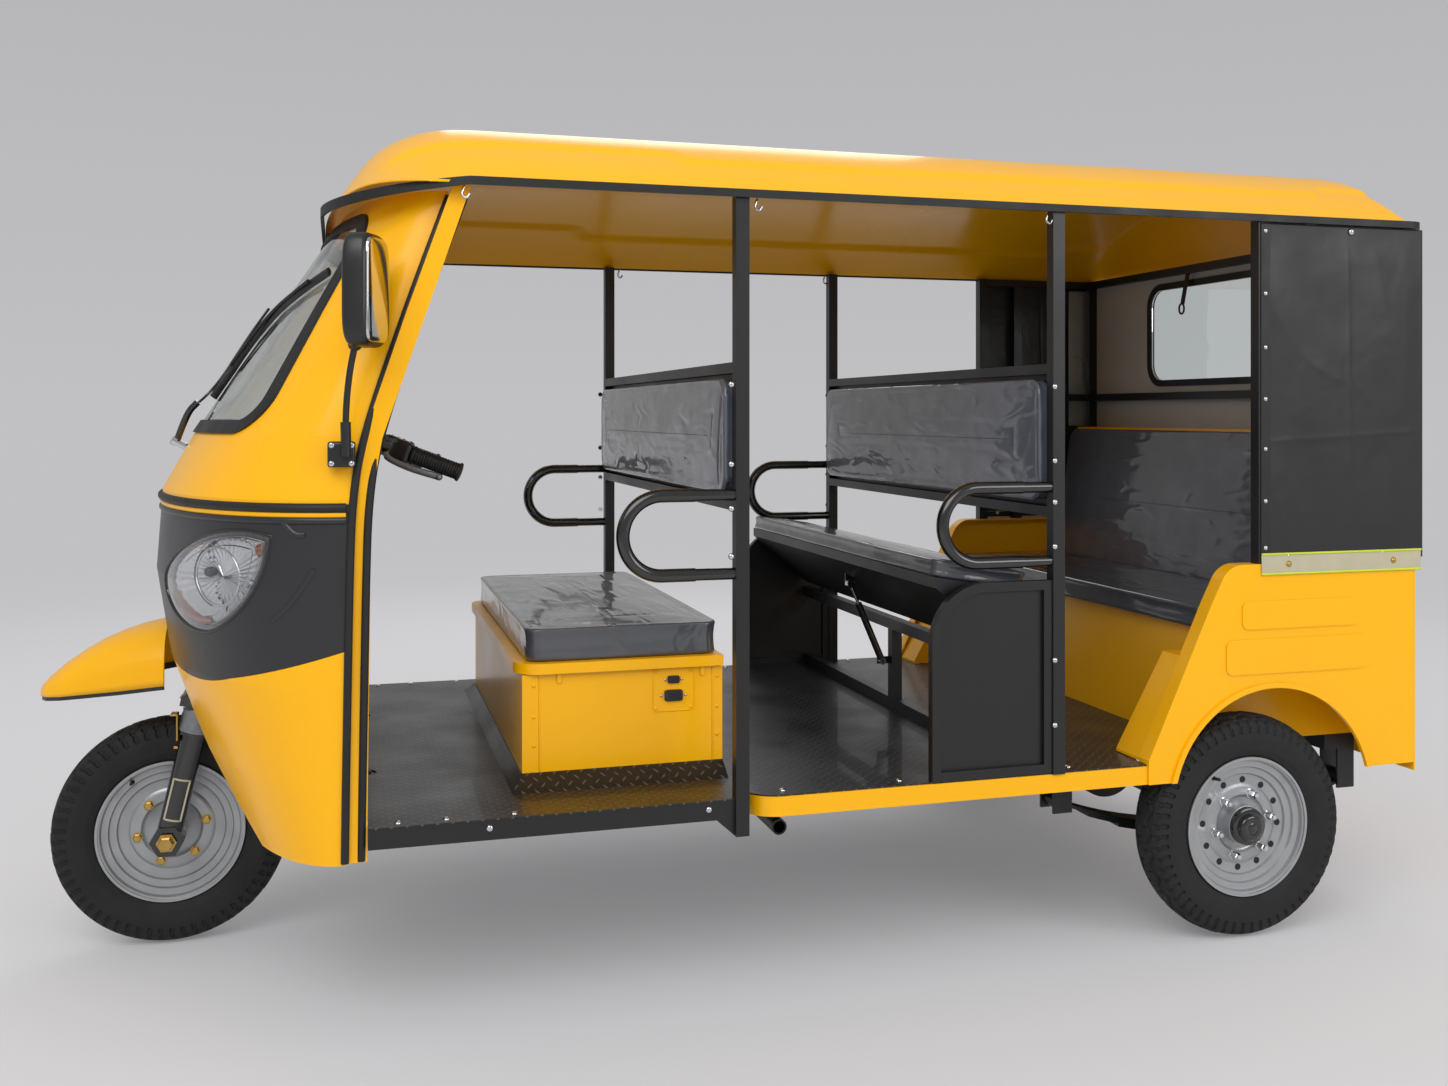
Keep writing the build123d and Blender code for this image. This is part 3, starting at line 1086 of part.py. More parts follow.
TAIL_FOOT = 354
PLATE_HOLE_RADIUS = 3.25
PLATE_HOLES = (200, 100)
PLATE_Z = 520
with BuildPart() as tail_panel:
    add(box_between((QUARTER_TAIL + SEAT_GAP, -BODY_HALF, TAIL_FOOT),
                    (QUARTER_TAIL + SEAT_GAP + SKIN, BODY_HALF, QUARTER_TOP - SEAT_GAP)))
    with BuildSketch(Plane.YZ.offset(QUARTER_TAIL)):
        with Locations((0, PLATE_Z)):
            with GridLocations(*PLATE_HOLES, 2, 2):
                Circle(PLATE_HOLE_RADIUS)
    extrude(amount=20, mode=Mode.SUBTRACT)
tail_panel.part.label = "tail_panel"
export_step(tail_panel.part, "parts/tail_panel.step")

with BuildPart() as tail_lamps:
    for side in (-1, 1):
        with BuildSketch(Plane.YZ.offset(QUARTER_TAIL + SKIN + 2 * SEAT_GAP)):
            with Locations((side * (BODY_HALF - 90), 640)):
                RectangleRounded(84, 210, 14)
        extrude(amount=16)
tail_lamps.part.label = "tail_lamps"
export_step(tail_lamps.part, "parts/tail_lamps.step")

# Side curtains behind the passengers
CURTAIN_SHEET = 3
with BuildPart() as curtains:
    for side in (-1, 1):
        low, high = sorted((side * (BODY_HALF + 0.3), side * (BODY_HALF + 0.3 + CURTAIN_SHEET)))
        add(box_between((station(2366), low, 855), (station(2814), high, RIM_HEIGHT - 10)))
curtains.part.label = "side_curtains"
export_step(curtains.part, "parts/side_curtains.step")

# Rear axle: housing tubes, drive unit, stub shafts and brake drums
AXLE_TUBE = 28
STUB_RADIUS = 15
HUB_IN = REAR_TRACK / 2 - 34
DRUM_RADIUS = 88
DRUM_DEPTH = 32
DRIVE_RADIUS = 92
MOTOR_RADIUS = 78
with BuildPart() as rear_axle:
    with BuildSketch(Plane.XZ.offset(-HUB_IN)):
        with Locations((REAR_AXLE_X, AXLE_Z)):
            Circle(AXLE_TUBE)
    extrude(amount=2 * HUB_IN)
    with BuildSketch(Plane.XZ.offset(-REAR_TRACK / 2 - 18)):
        with Locations((REAR_AXLE_X, AXLE_Z)):
            Circle(STUB_RADIUS)
    extrude(amount=REAR_TRACK + 36)
    with BuildSketch(Plane.XZ.offset(-95)):
        with Locations((REAR_AXLE_X, AXLE_Z)):
            Circle(DRIVE_RADIUS)
    extrude(amount=190)
    for low in (-HUB_IN, HUB_IN - DRUM_DEPTH):
        with BuildSketch(Plane.XZ.offset(-low - DRUM_DEPTH)):
            with Locations((REAR_AXLE_X, AXLE_Z)):
                Circle(DRUM_RADIUS)
        extrude(amount=DRUM_DEPTH)
    with BuildSketch(Plane.XZ.offset(-260)):
        with Locations((REAR_AXLE_X - 60, AXLE_Z + 12)):
            Circle(MOTOR_RADIUS)
    extrude(amount=170)
rear_axle.part.label = "rear_axle"
export_step(rear_axle.part, "parts/rear_axle.step")

SPRING_SAG_Z = AXLE_Z - AXLE_TUBE - 1
with BuildPart() as springs:
    for side in (-1, 1):
        for leaf, half in enumerate((SPRING_HALF, 320, 240, 160)):
            drop = leaf * 8
            rise = (SPRING_EYE_Z - SPRING_SAG_Z) * (half / SPRING_HALF) ** 2
            with BuildSketch(Plane.XZ.offset(-side * SPRING_Y - SPRING_WIDTH / 2)):
                with BuildLine():
                    top = ThreePointArc((REAR_AXLE_X - half, SPRING_SAG_Z - drop + rise),
                                        (REAR_AXLE_X, SPRING_SAG_Z - drop),
                                        (REAR_AXLE_X + half, SPRING_SAG_Z - drop + rise))
                    Line(top @ 1, (REAR_AXLE_X + half, SPRING_SAG_Z - drop + rise - 8))
                    ThreePointArc((REAR_AXLE_X + half, SPRING_SAG_Z - drop + rise - 8),
                                  (REAR_AXLE_X, SPRING_SAG_Z - drop - 8),
                                  (REAR_AXLE_X - half, SPRING_SAG_Z - drop + rise - 8))
                    Line((REAR_AXLE_X - half, SPRING_SAG_Z - drop + rise - 8), top @ 0)
                make_face()
            extrude(amount=SPRING_WIDTH)
        for x in (REAR_AXLE_X - SPRING_HALF, REAR_AXLE_X + SPRING_HALF):
            with BuildSketch(Plane.XZ.offset(-side * SPRING_Y - SPRING_WIDTH / 2)):
                with Locations((x, SPRING_EYE_Z - 4)):
                    Circle(18)
            extrude(amount=SPRING_WIDTH)
springs.part.label = "leaf_springs"
export_step(springs.part, "parts/leaf_springs.step")


def tyre_solid(x, y):
    """A tyre of the vehicle's size, its middle at x, y."""
    with BuildPart(mode=Mode.PRIVATE) as tyre:
        with BuildSketch(Plane.XY) as section:
            with BuildLine():
                bead = TYRE_BEAD_DIAMETER / 2 + 6
                crown = TYRE_DIAMETER / 2
                half = TYRE_WIDTH / 2
                bulge = (crown + bead) / 2 + 6
                tread = ThreePointArc((half - 12, crown - 12), (0, crown), (-half + 12, crown - 12))
                left = ThreePointArc(tread @ 1, (-half, bulge), (-RIM_WIDTH / 2 + 8, bead))
                base = Line(left @ 1, (RIM_WIDTH / 2 - 8, bead))
                ThreePointArc(base @ 1, (half, bulge), tread @ 0)
            make_face()
        revolve(axis=Axis.X)
    return Pos(x, y, AXLE_Z) * Rot(0, 0, 90) * tyre.part


def rim_solid(x, y, bore, hub_radius, hub_half):
    """A pressed steel rim with its disc and hub, its middle at x, y and its outer face on -Y."""
    with BuildPart(mode=Mode.PRIVATE) as rim:
        with BuildSketch(Plane.XY) as section:
            with BuildLine():
                flange = RIM_FLANGE_DIAMETER / 2
                seat = TYRE_BEAD_DIAMETER / 2 + 5.7
                half = RIM_WIDTH / 2
                Polyline((-half, seat), (-half, flange), (-half + 4, flange), (-half + 8, seat),
                         (half - 8, seat), (half - 4, flange), (half, flange), (half, seat),
                         (half - 6, seat - 5), (10, seat - 6), (2, 92), (2, hub_radius),
                         (hub_half, hub_radius), (hub_half, bore), (-hub_half, bore),
                         (-hub_half, hub_radius), (-4, hub_radius), (-4, 94), (-2, seat - 6),
                         (-half + 6, seat - 5), close=True)
            make_face()
        revolve(axis=Axis.X)
    return Pos(x, y, AXLE_Z) * Rot(0, 0, 90) * rim.part


AXLE_RADIUS = 8
WHEEL_PLACES = (
    ("front", AXLE_X, 0, AXLE_RADIUS, 34, 55),
    ("rear_left", REAR_AXLE_X, -REAR_TRACK / 2, STUB_RADIUS, 46, 32),
    ("rear_right", REAR_AXLE_X, REAR_TRACK / 2, STUB_RADIUS, 46, 32),
)
for name, x, y, shaft, hub_radius, hub_half in WHEEL_PLACES:
    with BuildPart() as wheel_tyre:
        add(tyre_solid(x, y))
    wheel_tyre.part.label = f"{name}_tyre"
    export_step(wheel_tyre.part, f"parts/{name}_tyre.step")
    with BuildPart() as wheel_rim:
        add(rim_solid(x, y, shaft + AXLE_FIT, hub_radius, hub_half))
    wheel_rim.part.label = f"{name}_rim"
    export_step(wheel_rim.part, f"parts/{name}_rim.step")

# Front fork: legs, crown plate, stem and axle
LEG_Y = 90
LEG_RADIUS = 27
CROWN_Z = 540
CROWN_THICK = 22
STEM_TOP = 1010
LUG_RADIUS = 36
LUG_IN = 64
LUG_OUT = 120
COLLAR_RADIUS = 33
COLLAR_LENGTH = 62
with BuildPart() as fork:
    for side in (-1, 1):
        with BuildSketch(steer_plane.offset(-6)):
            with Locations((0, side * LEG_Y)):
                Circle(LEG_RADIUS)
        extrude(amount=(CROWN_Z - AXLE_Z) / rake_cos + 6)
        with BuildSketch(steer_plane.offset((CROWN_Z - AXLE_Z) / rake_cos - COLLAR_LENGTH)):
            with Locations((0, side * LEG_Y)):
                Circle(COLLAR_RADIUS)
        extrude(amount=COLLAR_LENGTH)
        # Six-sided lug round the axle at the foot of the leg
        low, high = sorted((side * LUG_IN, side * LUG_OUT))
        with BuildSketch(Plane.XZ.offset(-high)):
            with Locations((AXLE_X, AXLE_Z)):
                RegularPolygon(LUG_RADIUS, 6)
        extrude(amount=high - low)
    with BuildSketch(steer_plane.offset((CROWN_Z - AXLE_Z) / rake_cos)):
        Rectangle(84, 2 * (LEG_Y + LEG_RADIUS))
    extrude(amount=CROWN_THICK)
    with BuildSketch(steer_plane.offset((CROWN_Z - AXLE_Z) / rake_cos)):
        Circle(STEM_RADIUS)
    extrude(amount=(STEM_TOP - CROWN_Z) / rake_cos)
    with BuildSketch(Plane.XZ.offset(-LEG_Y - LEG_RADIUS - 8)):
        with Locations((AXLE_X, AXLE_Z)):
            Circle(AXLE_RADIUS)
    extrude(amount=2 * (LEG_Y + LEG_RADIUS + 8))
fork.part.label = "front_fork"
export_step(fork.part, "parts/front_fork.step")

# Handlebar: clamp on the stem, a bar pulled back to the driver, grips and switch housings
BAR_RADIUS = 11
GRIP_RADIUS = 16
with BuildPart() as handlebar:
    with BuildSketch(steer_plane.offset((STEM_TOP - AXLE_Z) / rake_cos)):
        Circle(24)
    extrude(amount=50)
    bar_root = (steer_x(1052), 0, 1052)
    for side in (-1, 1):
        points = [bar_root, (station(300), side * 110, 1120), (station(430), side * 250, 1126),
                  (station(500), side * 316, 1108), (station(606), side * 348, 1068)]
        with BuildLine() as bar_path:
            FilletPolyline(*points, radius=40)
        with BuildSketch(Plane(origin=points[0], z_dir=Vector(*points[1]) - Vector(*points[0]))):
            Circle(BAR_RADIUS)
        sweep(path=bar_path.line)
        grip_dir = (Vector(*points[4]) - Vector(*points[3])).normalized()
        with BuildSketch(Plane(origin=Vector(*points[3]) + grip_dir * 16, z_dir=grip_dir)):
            Circle(GRIP_RADIUS)
        extrude(amount=104)
handlebar.part.label = "handlebar"
export_step(handlebar.part, "parts/handlebar.step")

# Mirrors on stems from the cowl
MIRROR_Y = BODY_HALF + 25
with BuildPart() as mirror_left:
    with BuildSketch(Plane.XY.offset(1312)):
        with Locations(Location((station(412), -MIRROR_Y), 25)):
            RectangleRounded(56, 118, 24)
    extrude(amount=212)
    with BuildSketch(Plane(origin=(station(372), -MIRROR_Y + 6, 1130), z_dir=(30, 0, 190))):
        Circle(7)
    extrude(amount=195)
    add(box_between((station(356), -MIRROR_Y, 1092), (station(396), -BODY_HALF + 50, 1136)))
    add(nose_form(-SEAT_GAP, behind=20), mode=Mode.SUBTRACT)
with BuildPart() as mirrors:
    add(mirrored_pair(mirror_left.part))
mirrors.part.label = "side_mirrors"
export_step(mirrors.part, "parts/side_mirrors.step")
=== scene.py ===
# %% [markdown]
# The object is an open-sided electric passenger tricycle with a domed nose, one long roof and three rows
# of seats. Its solid frame is packed already and never moves here. This lesson dresses that frame: it
# gives every solid a real finish and adds what solids leave out, such as tread, cushions and lamps.

# %% Load the frame and keep its size
import math
import bmesh
import bpy
import numpy as np
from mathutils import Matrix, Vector


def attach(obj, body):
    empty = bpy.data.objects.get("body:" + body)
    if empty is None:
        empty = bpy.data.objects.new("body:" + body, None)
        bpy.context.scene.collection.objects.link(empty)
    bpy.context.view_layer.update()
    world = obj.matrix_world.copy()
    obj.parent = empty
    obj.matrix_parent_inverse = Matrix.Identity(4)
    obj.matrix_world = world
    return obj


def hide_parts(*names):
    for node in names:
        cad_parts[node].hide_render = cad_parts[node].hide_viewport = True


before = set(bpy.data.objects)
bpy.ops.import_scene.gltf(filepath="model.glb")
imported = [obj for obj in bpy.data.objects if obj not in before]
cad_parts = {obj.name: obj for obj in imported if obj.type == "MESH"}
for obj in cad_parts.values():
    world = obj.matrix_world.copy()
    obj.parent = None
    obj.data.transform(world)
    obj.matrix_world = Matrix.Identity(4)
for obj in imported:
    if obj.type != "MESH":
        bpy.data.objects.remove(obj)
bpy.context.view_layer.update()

# %% [markdown]
# Places along the vehicle are easiest to read as millimetres behind the front axle, which is how a
# workshop would tape them. Two functions turn such places into the frame's metres.

# %% Driving sizes and places
MM = 0.001
AXLE_X = -1.2765
WHEEL_Z = 0.2525
REAR_STATION = 2350
REAR_HUB_Y = 0.640
RAKE = math.radians(13)
SIDES = (("left", -1), ("right", 1))


def spot(x, y, z):
    """Points in metres from millimetres behind the front axle, across, and above the ground."""
    return np.stack(np.broadcast_arrays(AXLE_X + x * MM, y * MM, z * MM), -1)


def spots(*rows):
    """The same for rows of (x, y, z)."""
    return spot(*np.array(rows, float).T)


# %% [markdown]
# Colours are noted as sRGB hex values, as on a paint card, and one function turns them into the linear
# light that shaders work in. One helper adds a node and fills its inputs with plain values or links.

# %% Colour conversion and node helper
def linear(hex_colour):
    """Linear RGBA from an sRGB hex colour: c/12.92 when dark, else ((c+0.055)/1.055) to the power 2.4."""
    c = np.array([int(hex_colour[i:i + 2], 16) / 255 for i in (1, 3, 5)])
    c = np.where(c <= 0.04045, c / 12.92, ((c + 0.055) / 1.055) ** 2.4)
    return (*c.tolist(), 1.0)


def add_node(tree, kind, inputs=None, **settings):
    """One shader node with its settings; an input takes a value, a socket, or a node's first output."""
    node = tree.nodes.new("ShaderNode" + kind)
    for key, value in settings.items():
        setattr(node, key, value)
    for key, value in (inputs or {}).items():
        if isinstance(value, bpy.types.Node):
            value = value.outputs[0]
        if isinstance(value, bpy.types.NodeSocket):
            tree.links.new(value, node.inputs[key])
        else:
            node.inputs[key].default_value = value
    return node


def new_finish(name, colour, roughness, metallic=0.0, coat=0.0, coat_roughness=0.05):
    """A material whose Principled shader holds the finish's plain values."""
    material = bpy.data.materials.new(name)
    material.use_nodes = True
    shader = material.node_tree.nodes["Principled BSDF"]
    for key, value in (("Base Color", linear(colour)), ("Roughness", roughness), ("Metallic", metallic),
                       ("Coat Weight", coat), ("Coat Roughness", coat_roughness)):
        shader.inputs[key].default_value = value
    return material, material.node_tree, shader


# %% [markdown]
# Real paint is never one flat value. Most finishes here share three traits: two close tones in soft
# patches, a roughness that wanders with them, and a fine grain that only a bump can show. Sizes are in
# millimetres on the object, so each finish has its true scale.

# %% Patches and grain shared by many finishes
def weathered(name, tones, patch, grain, depth, rough, **plain):
    """Noise of patch mm mixes two tones and two roughnesses; noise of grain mm raises a bump of depth mm."""
    first, second = tones.split()
    material, tree, shader = new_finish(name, first, rough[0], **plain)
    place = add_node(tree, "TexCoord").outputs["Object"]
    broad = add_node(tree, "TexNoise", {"Vector": place, "Scale": 1000 / patch, "Detail": 4.0})
    fine = add_node(tree, "TexNoise", {"Vector": place, "Scale": 1000 / grain, "Detail": 3.0})
    tone = add_node(tree, "Mix", {0: broad, 6: linear(first), 7: linear(second)}, data_type="RGBA")
    spread = add_node(tree, "MapRange", {0: broad, 1: 0.3, 2: 0.7, 3: rough[0], 4: rough[1]})
    bump = add_node(tree, "Bump", {"Height": fine, "Distance": depth * MM})
    tree.links.new(tone.outputs[2], shader.inputs["Base Color"])
    tree.links.new(spread.outputs[0], shader.inputs["Roughness"])
    tree.links.new(bump.outputs["Normal"], shader.inputs["Normal"])
    return material


def opened(material):
    """A weathered finish's tree, shader, Object coordinates and grain bump, to build on."""
    nodes = material.node_tree.nodes
    return material.node_tree, nodes["Principled BSDF"], nodes["Texture Coordinate"].outputs["Object"], nodes["Bump"]


# %% [markdown]
# Body panels wear yellow enamel whose clear coat has a faint orange peel, 2 mm from bump to bump. The
# band and the liner are satin sheet. Tubes and rails are powder coated, half dull; grab bars and fork
# have a glossier coat. Rubber is the darkest thing on the vehicle, and tyres are duller than seals.

# %% Enamel, sheet, tubes and rubber
yellow_enamel = weathered("yellow_enamel", "#F6B400 #F2AD00", 420, 2.2, 0.012, (0.26, 0.38), coat=0.2,
                          coat_roughness=0.16)
opened(yellow_enamel)[1].inputs["Specular IOR Level"].default_value = 0.25
satin_band = weathered("satin_black_sheet", "#232427 #1D1E20", 260, 0.9, 0.02, (0.34, 0.46), coat=0.15,
                       coat_roughness=0.25)
grained_liner = weathered("grained_black_liner", "#202123 #17181A", 180, 1.6, 0.12, (0.52, 0.68))
powder_coat = weathered("black_powder_coat", "#111214 #0C0D0F", 200, 1.1, 0.03, (0.38, 0.5), coat=0.1,
                        coat_roughness=0.3)
gloss_black = weathered("gloss_black_enamel", "#101112 #0C0D0E", 150, 1.8, 0.008, (0.18, 0.28), coat=0.8)
seal_rubber = weathered("extruded_seal_rubber", "#151617 #101112", 90, 0.8, 0.02, (0.46, 0.62))
tyre_rubber = weathered("tyre_rubber", "#0E0F10 #1C1D1E", 60, 1.2, 0.06, (0.66, 0.86))

# %% [markdown]
# Metals: the pressed wheels carry silver paint, nuts and bolts are zinc with a gold passivation or
# plain chrome, and the corner plates at the back are brushed stainless steel with a vertical grain.

# %% Metal finishes
silver_paint = weathered("silver_wheel_paint", "#AFB1B3 #9A9C9F", 45, 0.7, 0.02, (0.3, 0.44), metallic=0.65, coat=0.2)
gold_zinc = weathered("gold_zinc_plate", "#D0AE68 #B58E48", 9, 0.8, 0.01, (0.24, 0.4), metallic=1.0)
bright_chrome = weathered("bright_chrome", "#D8DADC #CACCCE", 40, 3.0, 0.004, (0.06, 0.13), metallic=1.0)
cast_alloy = weathered("cast_alloy", "#949698 #7C7E80", 14, 1.4, 0.12, (0.42, 0.6), metallic=0.8)
brushed_steel = weathered("brushed_stainless", "#C4C6C8 #B2B4B6", 120, 1.0, 0.01, (0.24, 0.36), metallic=1.0)
tree, shader, place, bump = opened(brushed_steel)
stretch = add_node(tree, "Mapping", {"Vector": place, "Scale": (1.0, 1.0, 0.02)})
lines = add_node(tree, "TexNoise", {"Vector": stretch, "Scale": 1400.0})
tree.links.new(lines.outputs["Fac"], bump.inputs["Height"])

# %% [markdown]
# Clear parts: window glass is thin and faintly green, lamp lenses are colourless plastic, and the
# small lenses are dyed. Transmission does the work; the dye is only the base colour.

# %% Glass and lenses
def clear_finish(name, colour, roughness, index):
    """A see-through finish: transmission one, its dye in the base colour, its bend in the index."""
    material, tree, shader = new_finish(name, colour, roughness)
    shader.inputs["Transmission Weight"].default_value = 1.0
    shader.inputs["IOR"].default_value = index
    place = add_node(tree, "TexCoord").outputs["Object"]
    wave = add_node(tree, "TexNoise", {"Vector": place, "Scale": 9.0, "Detail": 1.0})
    bump = add_node(tree, "Bump", {"Height": wave, "Distance": 0.4 * MM})
    tree.links.new(bump.outputs["Normal"], shader.inputs["Normal"])
    return material


window_glass = clear_finish("float_glass", "#EEF4F1", 0.0, 1.45)
lamp_lens = clear_finish("clear_lens_plastic", "#FAFBFC", 0.02, 1.49)
amber_lens = clear_finish("amber_lens_plastic", "#F58220", 0.12, 1.49)
red_lens = clear_finish("red_lens_plastic", "#B5161B", 0.12, 1.49)

# %% [markdown]
# The floors are pressed chequer plate painted black: short raised bars in a basket of two directions.
# On the real plate a bar is about 17 mm long and 5 mm wide, set 20 mm apart. The pattern is worked out
# from Object coordinates turned by 45 degrees: each square cell holds one bar, and every second cell
# swaps its two directions. The bar tops get a lighter grey, a painted highlight where raised bars catch light.

# %% Chequer plate
PLATE_PITCH = 20
BAR_STRETCH, BAR_SQUEEZE = 2.4, 8.5
chequer_plate = weathered("painted_chequer_plate", "#1F2023 #17181A", 150, 1.2, 0.02, (0.32, 0.5), coat=0.2)
tree, shader, place, bump = opened(chequer_plate)
turned = add_node(tree, "Mapping", {"Vector": place, "Rotation": (0, 0, math.radians(45)),
                                    "Scale": (1000 / PLATE_PITCH, 1000 / PLATE_PITCH, 0.0)})
parity = add_node(tree, "TexChecker", {"Vector": turned, "Scale": 1.0, "Color1": (1, 1, 1, 1), "Color2": (0, 0, 0, 1)})
cell = add_node(tree, "VectorMath", {0: turned}, operation="FRACTION")
local = add_node(tree, "VectorMath", {0: cell, 1: (0.5, 0.5, 0.0)}, operation="SUBTRACT")
long_way, short_way = (add_node(tree, "VectorMath", {0: local, 1: (*scale, 0.0)}, operation="MULTIPLY")
                       for scale in ((BAR_STRETCH, BAR_SQUEEZE), (BAR_SQUEEZE, BAR_STRETCH)))
picked = add_node(tree, "Mix", {0: parity.outputs["Fac"], 4: long_way, 5: short_way}, data_type="VECTOR")
reach = add_node(tree, "VectorMath", {0: picked.outputs[1]}, operation="LENGTH")
bar = add_node(tree, "MapRange", {0: reach.outputs["Value"], 1: 1.0, 2: 0.7, 3: 0.0, 4: 1.0},
               interpolation_type="SMOOTHSTEP")
raised = add_node(tree, "Bump", {"Height": bar, "Distance": 4 * MM, "Normal": bump})
tree.links.new(raised.outputs["Normal"], shader.inputs["Normal"])
# Painted highlight: the raised bar tops are mixed to a lighter grey in the base colour.
bar_highlight = add_node(tree, "Mix", {0: bar, 6: linear("#101113"), 7: linear("#47494C")}, data_type="RGBA")
tree.links.new(bar_highlight.outputs[2], shader.inputs["Base Color"])

# %% [markdown]
# The seats are dark grey leathercloth, still under the clear film they were delivered in. The cloth
# itself has a pebble grain near 1.5 mm. The film lies over it in long stretched creases, and each crease
# catches the light. That shine is partly real, in the coat, and partly a painted highlight: the crease
# ridges are mixed towards a light blue-grey in the base colour, which is why the seats look streaked.
# The backrests wear the same cloth in a lighter, bluer tone, partly a painted sheen of the film. The
# film is the coat layer: its own bump is much coarser than the cloth's.

# %% Leathercloth under clear film
def filmed_cloth(name, tones, along):
    """Leathercloth with creased film, its ridges lightened as a painted highlight; along stretches the creases, as film
    pulled that way.
    """
    material = weathered(name, tones, 70, 1.5, 0.10, (0.38, 0.56), coat=1.0, coat_roughness=0.1)
    tree, shader, place, _ = opened(material)
    pulled = add_node(tree, "Mapping", {"Vector": place, "Scale": along})
    crease = add_node(tree, "TexNoise", {"Vector": pulled, "Scale": 14.0, "Detail": 6.0, "Distortion": 0.8},
                      noise_type="RIDGED_MULTIFRACTAL")
    film_bump = add_node(tree, "Bump", {"Height": crease, "Distance": 4 * MM})
    tree.links.new(film_bump.outputs["Normal"], shader.inputs["Coat Normal"])
    # Painted highlight: the crease ridges are mixed towards a light blue-grey in the base colour.
    crease_highlight = add_node(tree, "MapRange", {0: crease, 1: 0.5, 2: 0.9, 3: 0.0, 4: 0.6})
    base = shader.inputs["Base Color"].links[0].from_socket
    painted_streak = add_node(tree, "Mix", {0: crease_highlight, 6: base, 7: linear("#B9BDC8")}, data_type="RGBA")
    tree.links.new(painted_streak.outputs[2], shader.inputs["Base Color"])
    return material


seat_cloth = filmed_cloth("leathercloth_under_film", "#464951 #3A3D44", (1.7, 0.4, 1.2))
# The backrests' lighter, bluer tone is partly the cloth's own and partly a painted sheen of the film.
sheen_tinted_back_cloth = filmed_cloth("leathercloth_pad_with_painted_sheen", "#575C68 #484C57", (1.0, 0.6, 1.7))

# %% [markdown]
# The side curtains are black coated canvas with creases from folding. The reflective strip along the hem
# is beige, edged with yellow-green piping. The last finishes are grey paint inside the rear wall, black
# plastic for housings and grips, dark grey battery cases, and the black castings of the axle.

# %% Canvas, hem, wall paint, plastics and castings
curtain_cloth = weathered("coated_curtain_canvas", "#131416 #0E0F11", 160, 1.3, 0.05, (0.42, 0.58), coat=0.05,
                          coat_roughness=0.3)
tree, shader, place, bump = opened(curtain_cloth)
shader.inputs["Sheen Weight"].default_value = 0.06
rumple = add_node(tree, "TexNoise", {"Vector": place, "Scale": 7.0, "Detail": 3.0})
swell = add_node(tree, "Bump", {"Height": rumple, "Distance": 6 * MM, "Normal": bump})
tree.links.new(swell.outputs["Normal"], shader.inputs["Normal"])
hem_strip = weathered("beige_reflective_strip", "#BBB499 #A9A187", 40, 1.0, 0.05, (0.38, 0.52), coat=0.3)
lime_piping = weathered("yellow_green_piping", "#CBD936 #B9C724", 30, 1.0, 0.05, (0.45, 0.55))
wall_paint = weathered("grey_wall_paint", "#C0C0BC #B4B4B0", 300, 2.0, 0.03, (0.44, 0.58))
moulded_black = weathered("moulded_black_plastic", "#17181A #121314", 80, 0.8, 0.02, (0.3, 0.46), coat=0.2,
                          coat_roughness=0.2)
battery_case = weathered("battery_case_plastic", "#3D3F41 #343638", 90, 1.0, 0.05, (0.45, 0.6))
axle_casting = weathered("painted_axle_casting", "#1D1E1F #161718", 60, 2.2, 0.2, (0.48, 0.68))

# %% [markdown]
# Every carried-over solid now takes its finish. The table reads like a paint plan: one finish, then the
# nodes that wear it.

# %% Paint plan
PAINT_PLAN = (
    (yellow_enamel, "nose_lower nose_upper front_mudguard roof_shell front_pillars rear_sill driver_seat_box "
                    "driver_seat_lid rear_quarters wheel_houses rear_seat_box tail_panel"),
    (satin_band, "nose_band"),
    (lamp_lens, "headlamps"),
    (seal_rubber, "window_seals body_trims"),
    (window_glass, "window_glass"),
    (grained_liner, "inner_apron"),
    (powder_coat, "chassis_rails spring_hangers steering_head cross_tube front_hoop mid_hoop mid_side_panels "
                  "mid_seat_base mid_seat_pan rear_cage leaf_springs"),
    (gloss_black, "grab_bars front_fork handlebar strut_tube"),
    (chequer_plate, "front_floor rear_floor"),
    (seat_cloth, "mid_cushion driver_cushion rear_cushion"),
    (sheen_tinted_back_cloth, "hoop_backrests rear_back_cushion"),
    (battery_case, "battery_block"),
    (bright_chrome, "strut_rod"),
    (wall_paint, "rear_wall"),
    (red_lens, "tail_lamps"),
    (curtain_cloth, "side_curtains"),
    (axle_casting, "rear_axle"),
    (tyre_rubber, "front_tyre rear_left_tyre rear_right_tyre"),
    (silver_paint, "front_rim rear_left_rim rear_right_rim"),
    (moulded_black, "side_mirrors"),
)
for finish, names in PAINT_PLAN:
    for name in names.split():
        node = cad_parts[name]
        node.data.materials.clear()
        node.data.materials.append(finish)
print("painted nodes", sum(len(names.split()) for _, names in PAINT_PLAN), "of", len(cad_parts))

# %% [markdown]
# New pieces are surfaces worked out with numpy. A surface is a grid of points, and the faces are the
# quads between neighbours, wrapped round where a side is closed. Poles and seams are merged, and the
# normals are then turned outwards.

# %% Meshes from shapes
def grid_faces(rows, columns, close_rows=False, close_columns=False):
    """Quads between neighbouring points of a rows by columns grid."""
    r, c = np.meshgrid(np.arange(rows - (not close_rows)), np.arange(columns - (not close_columns)), indexing="ij")
    r2, c2 = (r + 1) % rows, (c + 1) % columns
    return np.stack([r * columns + c, r2 * columns + c, r2 * columns + c2, r * columns + c2], -1).reshape(-1, 4)


